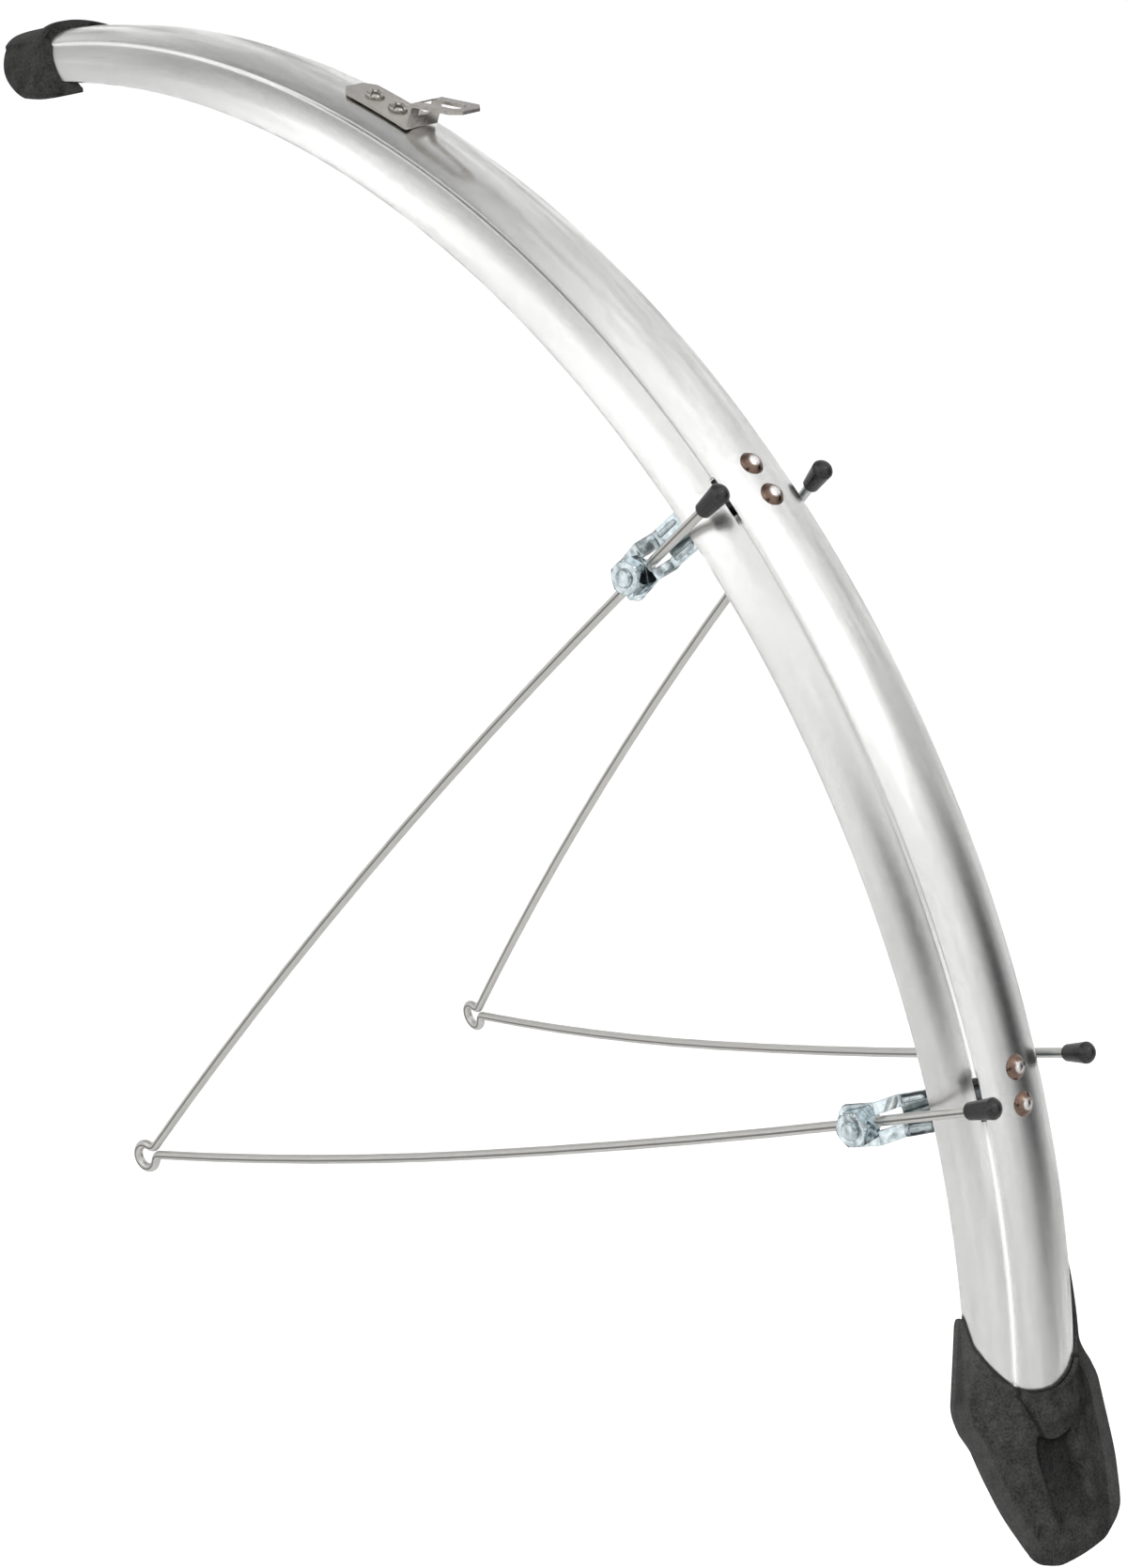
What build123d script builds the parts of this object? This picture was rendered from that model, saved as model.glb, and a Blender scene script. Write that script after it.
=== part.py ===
from build123d import *
import math
import os

os.makedirs("parts", exist_ok=True)

# Front mudguard for a 28 inch bicycle wheel, millimetres, +Z up, +X to the rear of the bicycle.
# The origin is midway between the two stay eyelets, which bolt to the fork ends.
# Sections are drawn across the guard: first the width y, then the radius from the wheel axle.
# Angles are measured about the axle, from straight back (0) to straight up (90).

# wheel axle as seen from the eyelets
axle_x = -28.8
axle_z = 2.9

# blade: one moulded shell with a crown band, a small step each side and two flanks
blade_width = 45.5
shell = 1.1
crown_top = 369.0
crown_half = 12.9
crown_rise = 3.5
step_out = 0.7
step_drop = 1.15
edge_radius = 353.8
flank_turn = 26.0
blade_end = 3.0
blade_nose = 104.2

# bridges: steel straps riveted under the crown that carry the stay clamps
upper_angle = 49.2
lower_angle = 19.15
upper_tilt = 4.5
lower_tilt = 3.2
strap = 1.2
strap_gap = 0.16
strap_wide = 13.0
strap_plate = 20.0
slit_play = 0.25
leg_run = 7.9
bolt_drop = 19.1
plate_near = 12.6
plate_far = 25.2
window = 4.9
bead_size = 2.4
bead_spread = 4.3

# stays: one bent wire a side, from clamp to eyelet to clamp
wire = 3.1
eyelet_half = 76.56
eyelet_hole = 5.4
neck_bend = 3.0
stay_axis = 37.3
clamp_gap = 7.0
upper_pull = 49.2
lower_pull = 24.0
upper_open = 19.4
lower_open = 20.2
upper_past = 39.8
lower_past = 45.8
right_short = 7.5

# stay end caps
cap_length = 11.6
cap_inner = 5.2
cap_outer = 6.6
cap_cover = 9.0
cap_dome = 2.3

# eye bolts and nuts
bolt_size = 5.8
bolt_head = 8.4
nut_flats = 10.0
nut_height = 4.4
bolt_show = 1.0

# rivets
rivet_pitch = 11.2
rivet_shank = 4.0
rivet_head = 7.6
rivet_dome = 2.0
rivet_tail = 6.4

# crown bracket: foot, upright and slotted ear, bent from one strip
bracket_angle = 77.9
bracket_wide = 13.0
bracket_thick = 1.1
foot_front = 15.5
foot_rear = 16.4
upright = 8.0
upright_lean = 7.5
ear_rise = 14.0
ear_length = 20.7
slot_wide = 5.6
slot_margin = 3.6
corner_cut = 3.2
bracket_pitch = 11.0
tube_rivet = 6.4
tube_bore = 2.6

# nose cap
nose_wall = 1.7
nose_rim = 1.2
nose_low = 99.7
nose_back = 103.0
nose_front = 107.33
nose_round = 50.0
rim_wide = 3.0
lip_back = 97.75
hook_wall = 1.5
hook_height = 5.0

# mud flap
flap_wall = 1.7
flap_thick = 2.6
flap_half = 30.4
flap_tip_half = 22.3
flap_corner = 24.8
flap_drop = 56.4
flap_lean = 29.0
collar_low = 27.0
collar_high = 54.0
tongue_half = 6.9
tongue_tip = 11.5
channel_end = -13.0
channel_depth = 1.6

axle = Vector(axle_x, 0, axle_z)
axle_axis = Axis((axle_x, 0, axle_z), (0, -1, 0))
half_width = blade_width / 2
# the clamps hang below the blade edge, and each wire runs on past its bolt
bolt_radius = edge_radius - bolt_drop
plate_start = edge_radius - plate_near
plate_end = edge_radius - plate_far
upper_tip = bolt_radius + upper_past
lower_tip = bolt_radius + lower_past


def polar(radius, degrees, y=0.0):
    a = math.radians(degrees)
    return Vector(axle_x + radius * math.cos(a), y, axle_z + radius * math.sin(a))


def outward(degrees):
    a = math.radians(degrees)
    return Vector(math.cos(a), 0, math.sin(a))


def backward(degrees):
    a = math.radians(degrees)
    return Vector(math.sin(a), 0, -math.cos(a))


def station(degrees):
    # section plane through the axle: first axis across the guard, second axis along the radius
    return Plane(origin=axle, x_dir=(0, 1, 0), z_dir=backward(degrees))


def arc_solid(face, first, last):
    return revolve(station(first) * face, axle_axis, last - first)


# the two arcs of the blade section
crown_bend = (crown_half**2 + crown_rise**2) / (2 * crown_rise)
crown_centre = (0.0, crown_top - crown_bend)
crown_angle = math.degrees(math.asin(crown_half / crown_bend))
flank_start = (crown_half + step_out, crown_top - crown_rise - step_drop)
flank_chord = math.hypot(half_width - flank_start[0], flank_start[1] - edge_radius)
flank_slope = math.degrees(math.atan2(flank_start[1] - edge_radius, half_width - flank_start[0]))
flank_bend = flank_chord / (2 * math.sin(math.radians(flank_turn / 2)))
flank_first = flank_slope - flank_turn / 2
flank_last = flank_slope + flank_turn / 2


def on_arc(centre, radius, degrees):
    a = math.radians(degrees)
    return (centre[0] + radius * math.sin(a), centre[1] + radius * math.cos(a))


flank_centre = on_arc(flank_start, -flank_bend, flank_first)


def flank_point(degrees, lift):
    return on_arc(flank_centre, flank_bend + lift, degrees)


def crown_point(degrees, lift):
    return on_arc(crown_centre, crown_bend + lift, degrees)


def move(point, degrees, length):
    # step along the flank slope, down and out
    a = math.radians(degrees)
    return (point[0] + length * math.cos(a), point[1] - length * math.sin(a))


def skin(lift, longer=0.0, stop=flank_last):
    # edges of the blade surface, lifted outward, from the left edge to the right edge
    mid = (flank_first + stop) / 2
    a = flank_point(stop, lift)
    b = flank_point(mid, lift)
    c = flank_point(flank_first, lift)
    d = crown_point(crown_angle, lift)
    right = [Line(d, c), ThreePointArc(c, b, a)]
    left = [
        ThreePointArc((-a[0], a[1]), (-b[0], b[1]), (-c[0], c[1])),
        Line((-c[0], c[1]), (-d[0], d[1])),
    ]
    crown = [ThreePointArc((-d[0], d[1]), crown_point(0, lift), d)]
    end = a
    if longer > 0:
        end = move(a, flank_last, longer)
        right = right + [Line(a, end)]
        left = [Line((-end[0], end[1]), (-a[0], a[1]))] + left
    return left + crown + right, end


def band(outer, inner, longer=0.0, stop=flank_last):
    top, a = skin(outer, longer, stop)
    low, b = skin(inner, longer, stop)
    ends = [Line(a, b), Line((-a[0], a[1]), (-b[0], b[1]))]
    return Face(Wire(top + low + ends))


def filled(lift, floor):
    top, a = skin(lift)
    sides = [
        Line(a, (a[0], floor)),
        Line((a[0], floor), (-a[0], floor)),
        Line((-a[0], floor), (-a[0], a[1])),
    ]
    return Face(Wire(top + sides))


def blade_face():
    top, a = skin(0.0)
    low, b = skin(-shell)
    mid = ((a[0] + b[0]) / 2, (a[1] + b[1]) / 2)
    tip = move(mid, flank_last, shell / 2)
    ends = [
        ThreePointArc(a, tip, b),
        ThreePointArc((-a[0], a[1]), (-tip[0], tip[1]), (-b[0], b[1])),
    ]
    return Face(Wire(top + low + ends))


def shoulder_face(side, play):
    # where the strap comes up into the slit along the step
    d = crown_point(crown_angle, 0)
    c = flank_start
    under = -shell - strap
    p = crown_point(crown_angle * 0.9, under)
    q = flank_point(flank_first + 3.0, under)
    points = [
        (d[0] - 0.45 - play, p[1]),
        (d[0] - 0.45 - play, d[1] + 0.1 + 4 * play),
        (d[0] + play, d[1] - 0.15 + 4 * play),
        (c[0] + play, c[1] - 0.15 + 4 * play),
        (c[0] + 0.75 + play, c[1] - 0.75 + 4 * play),
        (c[0] + 0.75 + play, q[1]),
    ]
    return make_face(Polyline(*[(side * y, r) for y, r in points], close=True))


def ribbon_sides(points, thick):
    # the two sides of a bent strip of even thickness along its middle line
    left = []
    right = []
    for i, point in enumerate(points):
        before = points[max(i - 1, 0)]
        after = points[min(i + 1, len(points) - 1)]
        u = Vector(point[0] - before[0], point[1] - before[1])
        v = Vector(after[0] - point[0], after[1] - point[1])
        u = u.normalized() if u.length > 0 else v.normalized()
        v = v.normalized() if v.length > 0 else u
        m = (u + v).normalized()
        reach = thick / 2 / (m.X * u.X + m.Y * u.Y)
        left.append((point[0] - m.Y * reach, point[1] + m.X * reach))
        right.append((point[0] + m.Y * reach, point[1] - m.X * reach))
    return left, right


def ribbon(points, thick):
    left, right = ribbon_sides(points, thick)
    return make_face(Polyline(*(left + right[::-1]), close=True))


def radial_plane(radius, degrees, y=0.0):
    return Plane(origin=polar(radius, degrees, y), x_dir=(0, 1, 0), z_dir=outward(degrees))


def radial_rod(degrees, first, last, size, y=0.0):
    rod = Cylinder(size / 2, last - first, align=(Align.CENTER, Align.CENTER, Align.MIN))
    return radial_plane(first, degrees, y) * rod


def crown_rod(degrees, lift):
    # a straight rod that fits the crown of the blade over a short length
    rod = Cylinder(crown_bend + lift, 40)
    return Plane(origin=polar(crown_top - crown_bend, degrees), z_dir=backward(degrees)) * rod


def degrees_of(length, radius):
    return math.degrees(length / radius)


def strap_point(angle, tilt, level, y=0.0):
    # a point in the plane of a strap, which tilts back below the crown
    return polar(crown_top, angle, y) + outward(angle + tilt) * (level - crown_top)


def stay_run(point):
    # how far a point lies from the eyelets, seen from the side along the middle of the stay
    a = math.radians(stay_axis)
    return point.X * math.cos(a) + point.Z * math.sin(a)


# stay plane: it holds the eyelet and both legs, and leans in toward the blade
stay_reach = stay_run(strap_point(upper_angle, upper_tilt, bolt_radius))
stay_slope = (eyelet_half - half_width - clamp_gap) / stay_reach
stay_lean = math.hypot(1.0, stay_slope)


def stay_axes(side):
    a = math.radians(stay_axis)
    along = Vector(math.cos(a), -side * stay_slope, math.sin(a)) / stay_lean
    across = Vector(-math.sin(a), 0, math.cos(a))
    return along, across


def stay_point(a, b, side):
    along, across = stay_axes(side)
    return Vector(0, side * eyelet_half, 0) + along * a + across * b


def stay_coords(point):
    a = math.radians(stay_axis)
    return stay_run(point) * stay_lean, point.Z * math.cos(a) - point.X * math.sin(a)


def pull_direction(degrees):
    # direction of a stay end in the stay plane, from its direction seen from the side
    a = math.radians(degrees - stay_axis)
    v = Vector(math.cos(a) * stay_lean, math.sin(a))
    return v.normalized()


class Clamp:
    """Where one stay end runs through its clamp."""

    def __init__(self, angle, tilt, pull, tip):
        self.angle = angle
        self.tilt = tilt
        self.lean = angle + tilt
        self.pull = pull
        self.tip = tip
        self.spot = stay_coords(self.at(bolt_radius))
        self.aim = pull_direction(pull)

    def at(self, level, y=0.0):
        return strap_point(self.angle, self.tilt, level, y)

    def plane(self):
        # as station, but tilted about the crown
        return Plane(origin=self.at(0.0), x_dir=(0, 1, 0), z_dir=backward(self.lean))

    def reach(self, radius):
        # distance from the bolt along the wire until it is this far from the axle
        wanted = radius - bolt_radius
        return wanted / math.cos(math.radians(self.pull - self.angle)) * self.stretch()

    def stretch(self):
        a = math.radians(self.pull - stay_axis)
        return math.hypot(math.cos(a) * stay_lean, math.sin(a))

    def end_reach(self, side):
        # the right stay sits a little further back in its clamps than the left one
        return self.reach(self.tip - (right_short if side == 1 else 0.0))

    def wire_point(self, distance, side):
        a = self.spot[0] + self.aim.X * distance
        b = self.spot[1] + self.aim.Y * distance
        return stay_point(a, b, side)

    def drift(self, level):
        # how far the wire has moved along the guard from the middle of the strap
        off = (level - bolt_radius) * math.tan(math.radians(self.pull - self.lean))
        return backward(self.lean) * -off

    def wire_half(self, radius):
        # how far the middle of the wire is from the middle of the guard
        return abs(self.wire_point(self.reach(radius), 1).Y)

    def wire_direction(self, side):
        along, across = stay_axes(side)
        return (along * self.aim.X + across * self.aim.Y).normalized()

    def plate_normal(self, side):
        fall = plate_start - plate_end
        spread = self.wire_half(plate_end) - self.wire_half(plate_start)
        down = Vector(0, side * spread, 0) - outward(self.lean) * fall
        raw = down.cross(backward(self.angle)) * side
        raw = raw * (1 if raw.Y * side > 0 else -1)
        e = self.wire_direction(side)
        return (raw - e * raw.dot(e)).normalized()

    def bolt_plane(self, side):
        # first axis along the wire, third axis out through the plate and nut
        return Plane(
            origin=self.wire_point(0, side),
            x_dir=self.wire_direction(side),
            z_dir=self.plate_normal(side),
        )


upper = Clamp(upper_angle, upper_tilt, upper_pull, upper_tip)
lower = Clamp(lower_angle, lower_tilt, lower_pull, lower_tip)
plate_lift = wire / 2 + 0.02


def rivet_angles(angle, pitch):
    half = degrees_of(pitch / 2, crown_top)
    return [angle + half, angle - half]


def make_blade():
    body = arc_solid(blade_face(), blade_end, blade_nose)
    spots = rivet_angles(bracket_angle, bracket_pitch)
    for clamp in (upper, lower):
        spots += rivet_angles(clamp.angle, rivet_pitch)
        for side in (1, -1):
            slit = clamp.plane() * shoulder_face(side, slit_play)
            body -= extrude(slit, strap_wide / 2 + slit_play, dir=backward(clamp.angle), both=True)
    for a in spots:
        body -= radial_rod(a, crown_top - 4, crown_top + 3, rivet_shank)
    return body


def strap_face(clamp):
    # across the guard: under the crown, up into the slits, down the flanks, out around the wires
    top = -shell - strap_gap
    middle = top - strap / 2
    plate_mid = plate_lift + strap / 2
    start = flank_point(flank_last, middle)
    bend = move(start, flank_last, leg_run)
    path = [
        start,
        bend,
        (bend[0] + 0.4, bend[1] - 1.6),
        (clamp.wire_half(plate_start) + plate_mid, plate_start),
        (clamp.wire_half(plate_end) + plate_mid, plate_end),
    ]
    outer, inner = ribbon_sides(path, strap)
    low = top - strap
    d = crown_point(crown_angle, 0)
    c = flank_start
    rim = c[0] + 0.75
    meet = math.degrees(math.asin((rim - flank_centre[0]) / (flank_bend + top)))
    shoulder = [
        crown_point(crown_angle, top),
        (d[0] - 0.45, d[1] + 0.1),
        (d[0], d[1] - 0.15),
        (c[0], c[1] - 0.15),
        (rim, c[1] - 0.75),
        flank_point(meet, top),
    ]
    bow = [flank_point(meet, top), flank_point((meet + flank_last) / 2, top), outer[0]]
    back = [inner[0], flank_point((flank_first + flank_last) / 2, low), flank_point(flank_first, low)]
    chain = outer + inner[::-1]
    close = [flank_point(flank_first, low), crown_point(crown_angle, low)]
    edges = []
    for side in (1, -1):

        def at(points):
            return [(side * y, r) for y, r in points]

        for run in (shoulder, chain, close):
            run = at(run)
            edges += [Line(run[i], run[i + 1]) for i in range(len(run) - 1)]
        edges += [ThreePointArc(*at(bow)), ThreePointArc(*at(back))]
    for lift in (top, low):
        a = crown_point(crown_angle, lift)
        edges.append(ThreePointArc((-a[0], a[1]), crown_point(0, lift), a))
    return Face(Wire(edges))


def plate_face():
    # wider part under the crown for the two rivets, pressed a little thinner than the strap
    top = -shell - strap_gap - 0.1
    low = top - strap + 0.2
    reach = crown_angle * 0.75
    a = crown_point(-reach, top)
    b = crown_point(reach, top)
    c = crown_point(reach, low)
    d = crown_point(-reach, low)
    return Face(Wire([
        ThreePointArc(a, crown_point(0, top), b),
        Line(b, c),
        ThreePointArc(c, crown_point(0, low), d),
        Line(d, a),
    ]))


def make_bridge(clamp):
    plane = clamp.plane()
    along = backward(clamp.angle)
    body = extrude(plane * strap_face(clamp), strap_wide / 2, dir=along, both=True)
    body += extrude(plane * plate_face(), strap_plate / 2, dir=along, both=True)
    foot = flank_point(flank_last, -shell - strap_gap - strap / 2)
    bend = move(foot, flank_last, leg_run)
    end = Plane(origin=clamp.at(plate_end), x_dir=backward(clamp.lean), z_dir=(0, 1, 0))
    inward = 1 if end.y_dir.dot(outward(clamp.lean)) < 0 else -1
    for hand in (1, -1):
        # cut corners at the end of the clamp plates
        corner = Polyline(
            (hand * (strap_wide / 2 + 1), inward * 2),
            (hand * (strap_wide / 2 + 1), inward * (-corner_cut - 0.4)),
            (hand * (strap_wide / 2 - corner_cut - 1.4), inward * 2),
            close=True,
        )
        body -= extrude(end * make_face(corner), 60, both=True)
    # windows for the wires
    tall = bend[1] - plate_start
    middle_r = (bend[1] + plate_start) / 2 - 0.4
    for side in (1, -1):
        spot = Plane(
            origin=clamp.at(middle_r, side * clamp.wire_half(middle_r)) + clamp.drift(middle_r),
            x_dir=backward(clamp.lean),
            z_dir=outward(clamp.lean),
        )
        body -= spot * Box(window, 16, tall)
        rod = Cylinder(bolt_size / 2, 12, align=(Align.CENTER, Align.CENTER, Align.MIN))
        body -= clamp.bolt_plane(side) * rod
        # stiffening beads each side of the wire
        for shift in (bead_spread, -bead_spread):
            a = plane.from_local_coords((side * foot[0], foot[1], shift))
            b = plane.from_local_coords((side * bend[0], bend[1], shift))
            first = a + (b - a) * 0.25
            last = a + (b - a) * 0.92
            length = (last - first).length
            rod = Cylinder(bead_size / 2, length, align=(Align.CENTER, Align.CENTER, Align.MIN))
            bead = rod + Sphere(bead_size / 2) + Pos(0, 0, length) * Sphere(bead_size / 2)
            body += Plane(origin=first, z_dir=last - first) * bead
    for a in rivet_angles(clamp.angle, rivet_pitch):
        body -= radial_rod(a, crown_top - 6, crown_top + 3, rivet_shank)
    return body


def make_dome_rivet(angle, clamp):
    inside = crown_top - shell - strap_gap - strap
    dome_radius = (rivet_head**2 / 4 + rivet_dome**2) / (2 * rivet_dome)
    edge = (rivet_head / 2, 0.0)
    half_turn = math.degrees(math.asin(rivet_head / 4 / dome_radius))
    side = on_arc((0.0, rivet_dome - dome_radius), dome_radius, half_turn)
    head = Face(Wire([
        Line((0, -0.25), (rivet_head / 2, -0.25)),
        Line((rivet_head / 2, -0.25), edge),
        ThreePointArc(edge, side, (0, rivet_dome)),
        Line((0, rivet_dome), (0, -0.25)),
    ]))
    body = revolve(Plane.XZ * head, Axis.Z)
    body = radial_plane(crown_top, angle) * body
    body -= crown_rod(angle, 0.0)
    body += radial_rod(angle, inside - 0.6, crown_top + 0.5, rivet_shank)
    # the formed tail bears on the underside of the strap
    tail = radial_rod(angle, inside - 1.4, inside + 0.2, rivet_tail)
    return body + (tail & crown_rod(clamp.angle, -shell - strap_gap - strap))


def make_tube_rivet(angle):
    # tubular rivet: flat head inside the blade, rolled and split rim outside the bracket
    under = crown_top - shell
    top = crown_top + bracket_thick + 0.05
    bore = tube_bore / 2
    rim = tube_rivet / 2
    lip = Face(Wire([
        Line((bore, -0.2), (rim, 0.0)),
        ThreePointArc((rim, 0.0), ((bore + rim) / 2 + 0.3, 1.15), (bore, 0.7)),
        Line((bore, 0.7), (bore, -0.2)),
    ]))
    roll = revolve(Plane.XZ * lip, Axis.Z)
    for turn in (20, 80, 140):
        roll -= Rot(0, 0, turn) * Pos(0, 0, 1.2) * Box(2 * tube_rivet, 0.5, 1.6)
    body = radial_plane(top, angle) * roll
    body -= radial_plane(top, angle) * Pos(0, 0, -3) * Cylinder(tube_rivet, 6)
    head = radial_rod(angle, under - 1.2, under + 0.2, rivet_tail + 0.6)
    head &= crown_rod(angle, -shell - 0.03)
    body += radial_rod(angle, under - 1.2, top + 0.4, rivet_shank) + head
    body -= radial_rod(angle, under - 0.2, top + 3, tube_bore)
    return body


def make_crown_bracket():
    plane = Plane(origin=polar(crown_top, bracket_angle), x_dir=backward(bracket_angle), z_dir=(0, -1, 0))
    raise_by = bracket_thick / 2 + 0.02
    path = []
    for i in range(9):
        u = -foot_front + (foot_front + foot_rear) * i / 8
        path.append((u, raise_by - u * u / (2 * crown_top)))
    lean = math.radians(90 - upright_lean)
    end = path[-1]
    top = (end[0] + upright * math.cos(lean), end[1] + upright * math.sin(lean))
    rise = math.radians(ear_rise)
    tip = (top[0] + ear_length * math.cos(rise), top[1] + ear_length * math.sin(rise))
    face = ribbon(path + [top, tip], bracket_thick)
    near = []
    for corner in face.vertices():
        spot = (corner.X, corner.Y)
        if min(math.dist(spot, end), math.dist(spot, top)) < 1.4 * bracket_thick:
            near.append(corner)
    face = fillet(near, 0.45 * bracket_thick)
    body = extrude(plane * face, bracket_wide / 2, both=True)
    # cut corners at the foot and at the ear
    ear = Plane(
        origin=plane.from_local_coords((tip[0], tip[1], 0)),
        x_dir=plane.x_dir * math.cos(rise) + plane.y_dir * math.sin(rise),
        z_dir=plane.y_dir * math.cos(rise) - plane.x_dir * math.sin(rise),
    )
    foot_plane = Plane(
        origin=plane.from_local_coords((-foot_front, 0, 0)),
        x_dir=plane.x_dir,
        z_dir=plane.y_dir,
    )
    for side in (1, -1):
        corner = Polyline(
            (1, side * (bracket_wide / 2 + 1)),
            (-corner_cut - 1, side * (bracket_wide / 2 + 1)),
            (-corner_cut - 1, side * bracket_wide / 2 + side * 0.6),
            (1, side * (bracket_wide / 2 - corner_cut - 0.6)),
            close=True,
        )
        body -= extrude(ear * make_face(corner), 3, both=True)
        back = Polyline(
            (-1, side * (bracket_wide / 2 + 1)),
            (corner_cut + 1, side * (bracket_wide / 2 + 1)),
            (corner_cut + 1, side * bracket_wide / 2 + side * 0.6),
            (-1, side * (bracket_wide / 2 - corner_cut - 0.6)),
            close=True,
        )
        body -= extrude(foot_plane * make_face(back), 3, both=True)
    # the slot starts in the upright and runs over the bend along the ear
    length = ear_length - slot_margin
    run = length - slot_wide / 2
    slot = Pos(-slot_margin - slot_wide / 2, 0, 0) * Cylinder(slot_wide / 2, 6)
    slot += Pos(-slot_margin - slot_wide / 2 - run / 2, 0, 0) * Box(run, slot_wide, 6)
    body -= ear * slot
    gate = plane.from_local_coords((top[0], top[1], 0))
    low = upright * 0.5
    opening = Box(6, slot_wide, low, align=(Align.CENTER, Align.CENTER, Align.MAX))
    stand = Plane(
        origin=gate,
        x_dir=plane.x_dir * math.sin(lean) - plane.y_dir * math.cos(lean),
        z_dir=plane.x_dir * math.cos(lean) + plane.y_dir * math.sin(lean),
    )
    body -= stand * opening
    for a in rivet_angles(bracket_angle, bracket_pitch):
        body -= radial_rod(a, crown_top - 2, crown_top + 5, rivet_shank)
    return body


def arc_meeting(start, leave, end, arrive):
    # where two arcs meet smoothly that together keep both end directions
    v = (end[0] - start[0], end[1] - start[1])
    along = v[0] * (leave[0] + arrive[0]) + v[1] * (leave[1] + arrive[1])
    span = v[0] ** 2 + v[1] ** 2
    turn = 2 * (1 - leave[0] * arrive[0] - leave[1] * arrive[1])
    arm = span / (2 * along)
    if turn > 1e-9:
        arm = (math.sqrt(along**2 + turn * span) - along) / turn
    return tuple((start[i] + end[i] + arm * (leave[i] - arrive[i])) / 2 for i in range(2))


def make_stay(side):
    loop = (eyelet_hole + wire) / 2
    open_angle = math.asin((wire / 2 + 0.12 + neck_bend) / (loop + neck_bend))
    pieces = []
    ends = {}
    for name, sign, opening in (("upper", 1, upper_open), ("lower", -1, lower_open)):
        c = ((loop + neck_bend) * math.cos(open_angle), sign * (loop + neck_bend) * math.sin(open_angle))
        leave = math.radians(opening)
        first = (loop * math.cos(open_angle), sign * loop * math.sin(open_angle))
        second = (c[0] + neck_bend * math.sin(leave), c[1] - sign * neck_bend * math.cos(leave))
        d = Vector(first[0] - c[0], first[1] - c[1]).normalized()
        e = Vector(second[0] - c[0], second[1] - c[1]).normalized()
        m = (d + e).normalized() * neck_bend
        middle = (c[0] + m.X, c[1] + m.Y)
        ends[name] = (first, middle, second, (math.cos(leave), sign * math.sin(leave)))
    along, across = stay_axes(side)
    for name, clamp in (("upper", upper), ("lower", lower)):
        first, middle, second, leave = ends[name]
        neck = [stay_point(*p, side) for p in (first, middle, second)]
        pieces.append(ThreePointArc(*neck))
        hold = (clamp.spot[0] - clamp.aim.X * 6.0, clamp.spot[1] - clamp.aim.Y * 6.0)
        meet = arc_meeting(second, leave, hold, (clamp.aim.X, clamp.aim.Y))
        middle = stay_point(*meet, side)
        hold = stay_point(*hold, side)
        pieces.append(TangentArc(neck[2], middle, tangent=along * leave[0] + across * leave[1]))
        pieces.append(TangentArc(hold, middle, tangent=clamp.wire_direction(side) * -1))
        pieces.append(Line(hold, clamp.wire_point(clamp.end_reach(side), side)))
    a = stay_point(*ends["upper"][0], side)
    b = stay_point(*ends["lower"][0], side)
    pieces.append(ThreePointArc(a, stay_point(-loop, 0, side), b))
    path = Wire(pieces)
    start = upper.wire_point(upper.end_reach(side), side)
    ring = Plane(origin=start, z_dir=upper.wire_direction(side)) * Circle(wire / 2)
    return sweep(ring, path=path)


def make_stay_cap(clamp, side):
    tip = clamp.wire_point(clamp.end_reach(side), side)
    plane = Plane(origin=tip, z_dir=clamp.wire_direction(side))
    over = cap_length - cap_cover
    rim = cap_outer / 2
    ball = (rim**2 + cap_dome**2) / (2 * cap_dome)
    half_turn = math.degrees(math.asin(rim / ball)) / 2
    shoulder = on_arc((0.0, over - ball), ball, half_turn)
    bulge = ThreePointArc((rim, over - cap_dome), shoulder, (0, over))
    face = Face(Wire([
        Line((0, -cap_cover), (cap_inner / 2 - 0.5, -cap_cover)),
        Line((cap_inner / 2 - 0.5, -cap_cover), (cap_inner / 2, -cap_cover + 0.7)),
        Line((cap_inner / 2, -cap_cover + 0.7), (rim, over - cap_dome)),
        bulge,
        Line((0, over), (0, -cap_cover)),
    ]))
    body = revolve(Plane.XZ * face, Axis.Z)
    body -= Cylinder(wire / 2, cap_cover, align=(Align.CENTER, Align.CENTER, Align.MAX))
    return plane * body


def make_eye_bolt(clamp, side):
    # the wire stands a little proud of the head, so that the nut pulls it against the plate
    seat = plate_lift - 0.25
    long = plate_lift + strap + nut_height + bolt_show
    head = Cylinder(bolt_head / 2, seat + wire / 2 + 1.9, align=(Align.CENTER, Align.CENTER, Align.MAX))
    head = chamfer(head.edges().sort_by(Axis.Z)[0], 0.6)
    shank = Cylinder(bolt_size / 2, long - seat, align=(Align.CENTER, Align.CENTER, Align.MIN))
    shank = chamfer(shank.edges().sort_by(Axis.Z)[-1], 0.5)
    body = Pos(0, 0, seat) * (head + shank)
    body -= Rot(0, 90, 0) * Cylinder(wire / 2 + 0.02, 2 * bolt_head)
    return clamp.bolt_plane(side) * body


def make_clamp_nut(clamp, side):
    base = plate_lift + strap
    body = extrude(RegularPolygon(nut_flats / 2, 6, major_radius=False), nut_height)
    small = nut_flats / 2 * 0.97
    large = small + nut_height * 1.7
    body = body & Cone(large, small, nut_height, align=(Align.CENTER, Align.CENTER, Align.MIN))
    body -= Cylinder(bolt_size / 2, 3 * nut_height)
    return clamp.bolt_plane(side) * Pos(0, 0, base) * body


def side_cutter(edges):
    # a prism across the guard from an outline drawn in the side view
    return extrude(Face(Wire(edges)), 60, dir=(0, 1, 0), both=True)


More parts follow.
